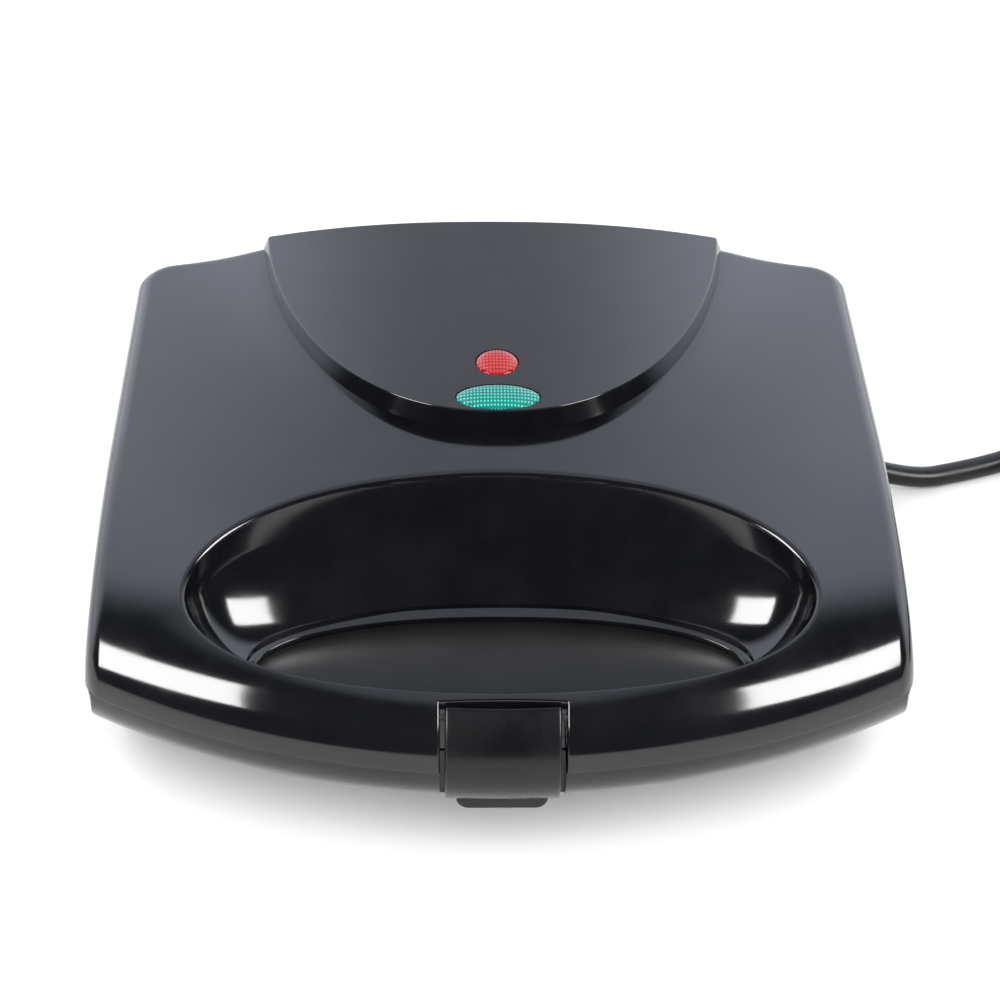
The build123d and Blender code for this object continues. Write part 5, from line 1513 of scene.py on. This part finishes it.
@dataclass
class MainsCord:
    """The free mains cord: over the table and into its put-away coil."""

    route: tuple[tuple[float, float, float], ...] = (
        (127.5, 81.0, 9.3), (141.53, 82.07, 4.11), (158.5, 87.8, 3.5), (172.9, 93.3, 3.5),
        (187.13, 100.08, 4.5), (202.31, 105.13, 4.5))
    centre: tuple[float, float] = (224.0, 66.0)
    radius: float = 44.0
    pitch: float = 7.6
    low_z: float = 4.5
    layer: float = 7.5
    start_angle: float = 110.0
    turns: float = 3 + 110 / 360
    climb: float = 0.5
    steps_a_turn: int = 16
    plug: tuple[float, float, float] = (268.741, 39.0102, 12.0)
    diameter: float = 7.0
    length: float = 898.0

    def coil_point(self, turn: float) -> tuple[float, float, float]:
        """A point of the wound cord.

        Args:
            turn: turns from its start.

        Returns:
            The point.
        """
        inward = self.pitch * min(turn, self.turns - turn)
        angle = math.radians(self.start_angle - 360 * turn)
        share = min(1.0, max(0.0, (turn - self.turns / 2) / self.climb + 0.5))
        swell = 1 / ((3 + math.cos(2 * math.pi / self.steps_a_turn)) / 4)
        reach = (self.radius - inward) * swell
        return (self.centre[0] + reach * math.cos(angle), self.centre[1] + reach * math.sin(angle),
                self.low_z + self.layer * share * share * (3 - 2 * share))

    def control_points(self) -> list[tuple[float, float, float]]:
        """Points that steer the cord's one spline.

        Returns:
            The points in order.
        """
        count = round(self.turns * self.steps_a_turn)
        coil = [self.coil_point(self.turns * (i + 0.5) / count) for i in range(count)]
        x, y, z = self.plug
        return list(self.route) + coil + [(268.0, 66.0, z), (x - 0.2, y + 9.0, z), (x, y, z)]

    def build(self) -> list[bpy.types.Object]:
        """Returns:
            The cord's piece.
        """
        curve = bpy.data.curves.new("mains_cord", "CURVE")
        curve.dimensions = "3D"
        curve.bevel_depth = self.diameter / 2 * MM
        curve.bevel_resolution = 7
        curve.resolution_u = 10
        curve.use_fill_caps = True
        points = self.control_points()
        spline = curve.splines.new("NURBS")
        spline.points.add(len(points) - 1)
        for point, place in zip(spline.points, points):
            point.co = (*(c * MM for c in place), 1.0)
        spline.order_u = 3
        spline.use_endpoint_u = True
        cord = link("mains_cord", curve)
        place_piece(cord, Finishes.CORD, "base", "cord_rubber", "power_cord", "cord_coil")
        return [cord]


@dataclass
class CarriedNodes:
    """CAD nodes whose own shape shows, with the finish of each."""

    finishes: dict[Finishes, tuple[str, ...]] = field(default_factory=lambda: {
        Finishes.BASE: ("lower_cover",),
        Finishes.PIN: ("latch_pin",),
        Finishes.INNER: ("lower_plate_frame", "upper_plate_frame", "lamp_holder", "terminal_block"),
        Finishes.PLATE: ("lower_cooking_plate", "upper_cooking_plate"),
        Finishes.STEEL_BAR: ("lower_heating_element", "upper_heating_element"),
        Finishes.CERAMIC: ("lower_insulators", "upper_insulators"),
        Finishes.SCREW: ("lower_clamp_screws", "lower_clip_screws", "lower_cover_screws", "upper_clamp_screws",
                         "upper_clip_screws", "upper_cover_screws", "lamp_holder_screws", "cord_clamp_screws",
                         "terminal_screws"),
        Finishes.SPRING: ("lower_element_clamp", "upper_element_clamp", "lower_plate_clips",
                          "upper_plate_clips", "fuse_clip", "hinge_pins"),
        Finishes.REFLECTOR: ("lower_reflector", "upper_reflector"),
        Finishes.FOOT: ("rubber_feet",),
        Finishes.BRASS: ("plug_pins",),
        Finishes.SLEEVE: ("lower_wires", "upper_wires", "thermal_fuse"),
        Finishes.CORD: ("cord_guard", "cord_inner_end", "plug_body"),
        Finishes.TIE: ("cord_tie", "cord_clamp"),
        Finishes.PHENOLIC: ("thermostat",),
        Finishes.GLASS: ("neon_lamps",),
    })

    def build(self) -> list[bpy.types.Object]:
        """Dresses every carried node.

        Returns:
            The dressed nodes.
        """
        dressed = []
        for finish, names in self.finishes.items():
            for name in names:
                WARDROBE.dress_node(name, finish)
                dressed.append(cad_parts[name])
        return dressed


@dataclass
class Studio:
    """Camera, pale floor, two softboxes and the bright sweep behind the object."""

    focal: float = 93.6
    azimuth: float = -1.6
    elevation: float = 36.4
    distance: float = 766.0
    target: tuple[float, float, float] = (0.8, -5.1, 60.0)
    roll: float = 0.96
    floor_half: float = 5.0
    box_azimuth: float = 118.0
    box_elevation: float = 31.0
    box_tilt: float = 62.0
    box_distance: float = 1.2
    box_spread: tuple[float, float] = (21.0, 26.0)
    box_light: float = 24.0
    sweep_light: float = 2.25
    ceiling_light: float = 1.1
    front_light: float = 0.07
    fill_size: tuple[float, float] = (1.6, 0.9)
    fill_light: float = 5.0
    fill_elevation: float = 46.0
    fill_distance: float = 1.5
    soft_light: float = 1.2

    def build_camera(self) -> bpy.types.Object:
        """Sets the camera at the photograph's angle.

        Returns:
            The camera object.
        """
        a, e, r = (math.radians(v) for v in (self.azimuth, self.elevation, self.roll))
        back = Vector((math.sin(a) * math.cos(e), -math.cos(a) * math.cos(e), math.sin(e)))
        right = (-back).cross(Vector((0, 0, 1))).normalized()
        up = right.cross(-back)
        turned = math.cos(r) * right + math.sin(r) * up
        upright = -math.sin(r) * right + math.cos(r) * up
        data = bpy.data.cameras.new("photo_camera")
        data.lens, data.sensor_width, data.sensor_fit = self.focal, 36.0, "HORIZONTAL"
        data.clip_start, data.clip_end = 0.01, 50.0
        camera = link("photo_camera", data)
        turn = Matrix((turned, upright, back)).transposed().to_4x4()
        place = (Vector(self.target) + back * self.distance) * MM
        camera.matrix_world = Matrix.Translation(place) @ turn
        bpy.context.scene.camera = camera
        return camera

    def build_floor(self) -> bpy.types.Object:
        """Lays the pale table top.

        Returns:
            The floor object.
        """
        material = bpy.data.materials.new("pale_floor")
        material.use_nodes = True
        sheet = NodeSheet(material.node_tree)
        shader = sheet.add("ShaderNodeBsdfPrincipled")
        sheet.join(shader.outputs[0], sheet.add("ShaderNodeOutputMaterial").inputs["Surface"])
        mottle = sheet.remap(sheet.noise(sheet.place(), 3.0, 3.0, 0.5), 0.3, 0.7)
        sheet.feed(shader, "Base Color", sheet.blend(mottle, (0.90, 0.90, 0.90), (0.92, 0.92, 0.92)))
        sheet.feed(shader, "Roughness", sheet.remap(mottle, 0.0, 1.0, 0.55, 0.62))
        shader.inputs["Specular IOR Level"].default_value = 0.2
        half = self.floor_half / MM
        floor = new_mesh_object("pale_floor", np.array(
            [(-half, -half, 0), (half, -half, 0), (half, half, 0), (-half, half, 0)]), [(0, 1, 2, 3)], False)
        floor.data.materials.append(material)
        return floor

    def hang(self, name: str, wide: float, tall: float, radiance: float) -> bpy.types.Object:
        """Makes a rectangular soft light of an even brightness.

        Args:
            name: the light's name.
            wide: its width in metres.
            tall: its height in metres.
            radiance: its brightness.

        Returns:
            The light object.
        """
        data = bpy.data.lights.new(name, "AREA")
        data.shape, data.size, data.size_y = "RECTANGLE", wide, tall
        data.energy = radiance * math.pi * wide * tall
        return link(name, data)

    def build_softbox(self, side: int) -> bpy.types.Object:
        """Hangs one softbox beside and above the front.

        Args:
            side: 1 for the right, -1 for the left.

        Returns:
            The light object.
        """
        wide, tall = (2 * self.box_distance * math.tan(math.radians(v / 2)) for v in self.box_spread)
        light = self.hang(f"softbox_{'right' if side > 0 else 'left'}", wide, tall, self.box_light)
        a, e, t = (math.radians(v) for v in (self.box_azimuth, self.box_elevation, self.box_tilt))
        out = Vector((side * math.sin(a) * math.cos(e), math.cos(a) * math.cos(e), math.sin(e)))
        round_way = Vector((math.cos(a) * side, -math.sin(a), 0.0))
        rise_way = Vector((-side * math.sin(a) * math.sin(e), -math.cos(a) * math.sin(e), math.cos(e)))
        across = math.cos(t) * round_way - math.sin(t) * rise_way
        turn = Matrix((across, out.cross(across), out)).transposed().to_4x4()
        middle = Vector((0.0, -70.0, 60.0)) * MM
        light.matrix_world = Matrix.Translation(middle + out * self.box_distance) @ turn
        light.visible_diffuse = False
        return light

    def build_fill(self) -> bpy.types.Object:
        """Hangs a large soft light above the front that evens out the floor.

        Returns:
            The light object.
        """
        light = self.hang("front_fill", *self.fill_size, self.fill_light)
        e = math.radians(self.fill_elevation)
        out = Vector((0.0, -math.cos(e), math.sin(e)))
        light.location = out * self.fill_distance
        light.rotation_euler = out.to_track_quat("Z", "Y").to_euler()
        light.visible_glossy = False
        return light

    def build_world(self) -> bpy.types.World:
        """Paints the room: a bright sweep behind, dark in front and overhead.

        Returns:
            The world.
        """
        world = bpy.data.worlds.new("studio_room")
        world.use_nodes = True
        sheet = NodeSheet(world.node_tree)
        room = sheet.add("ShaderNodeBackground")
        plain = sheet.add("ShaderNodeBackground")
        way = sheet.axes(sheet.add("ShaderNodeTexCoord").outputs["Generated"])
        behind = sheet.remap(way["Y"], 0.03, 0.34, self.front_light, self.sweep_light)
        aside = sheet.maths("ABSOLUTE", way["X"])
        behind = sheet.maths("MULTIPLY", behind, sheet.remap(aside, 0.02, 0.36, 0.5, 1.0))
        above = sheet.remap(way["Z"], 0.83, 0.90, 0.0, self.ceiling_light)
        sheet.feed(room, "Color", (0.93, 0.98, 1.13, 1.0))
        sheet.feed(room, "Strength", sheet.maths("MAXIMUM", behind, above))
        sheet.feed(plain, "Color", (1.0, 1.0, 1.0, 1.0))
        sheet.feed(plain, "Strength", self.soft_light)
        mirrored = sheet.add("ShaderNodeLightPath").outputs["Is Glossy Ray"]
        either = sheet.add("ShaderNodeMixShader")
        sheet.feed(either, 0, mirrored)
        sheet.join(plain.outputs[0], either.inputs[1])
        sheet.join(room.outputs[0], either.inputs[2])
        sheet.join(either.outputs[0], sheet.add("ShaderNodeOutputWorld").inputs["Surface"])
        bpy.context.scene.world = world
        return world

    def build(self) -> None:
        """Builds the whole studio."""
        self.build_camera()
        self.build_floor()
        for side in (-1, 1):
            self.build_softbox(side)
        self.build_fill()
        self.build_world()
        bpy.context.scene.view_settings.view_transform = "Standard"
        bpy.context.scene.view_settings.look = "None"


def main() -> None:
    """Builds the studio, the cord and every sub-assembly in order."""
    logging.basicConfig(level=logging.INFO, format="%(name)s: %(message)s")
    Studio().build()
    for assembly in (MainsCord(), CarriedNodes(), LidSkin(), PanelSkin(), LensSkin(), LatchSkin()):
        pieces = assembly.build()
        LOG.info("%s: %d pieces", type(assembly).__name__, len(pieces))


if __name__ == "__main__":
    main()
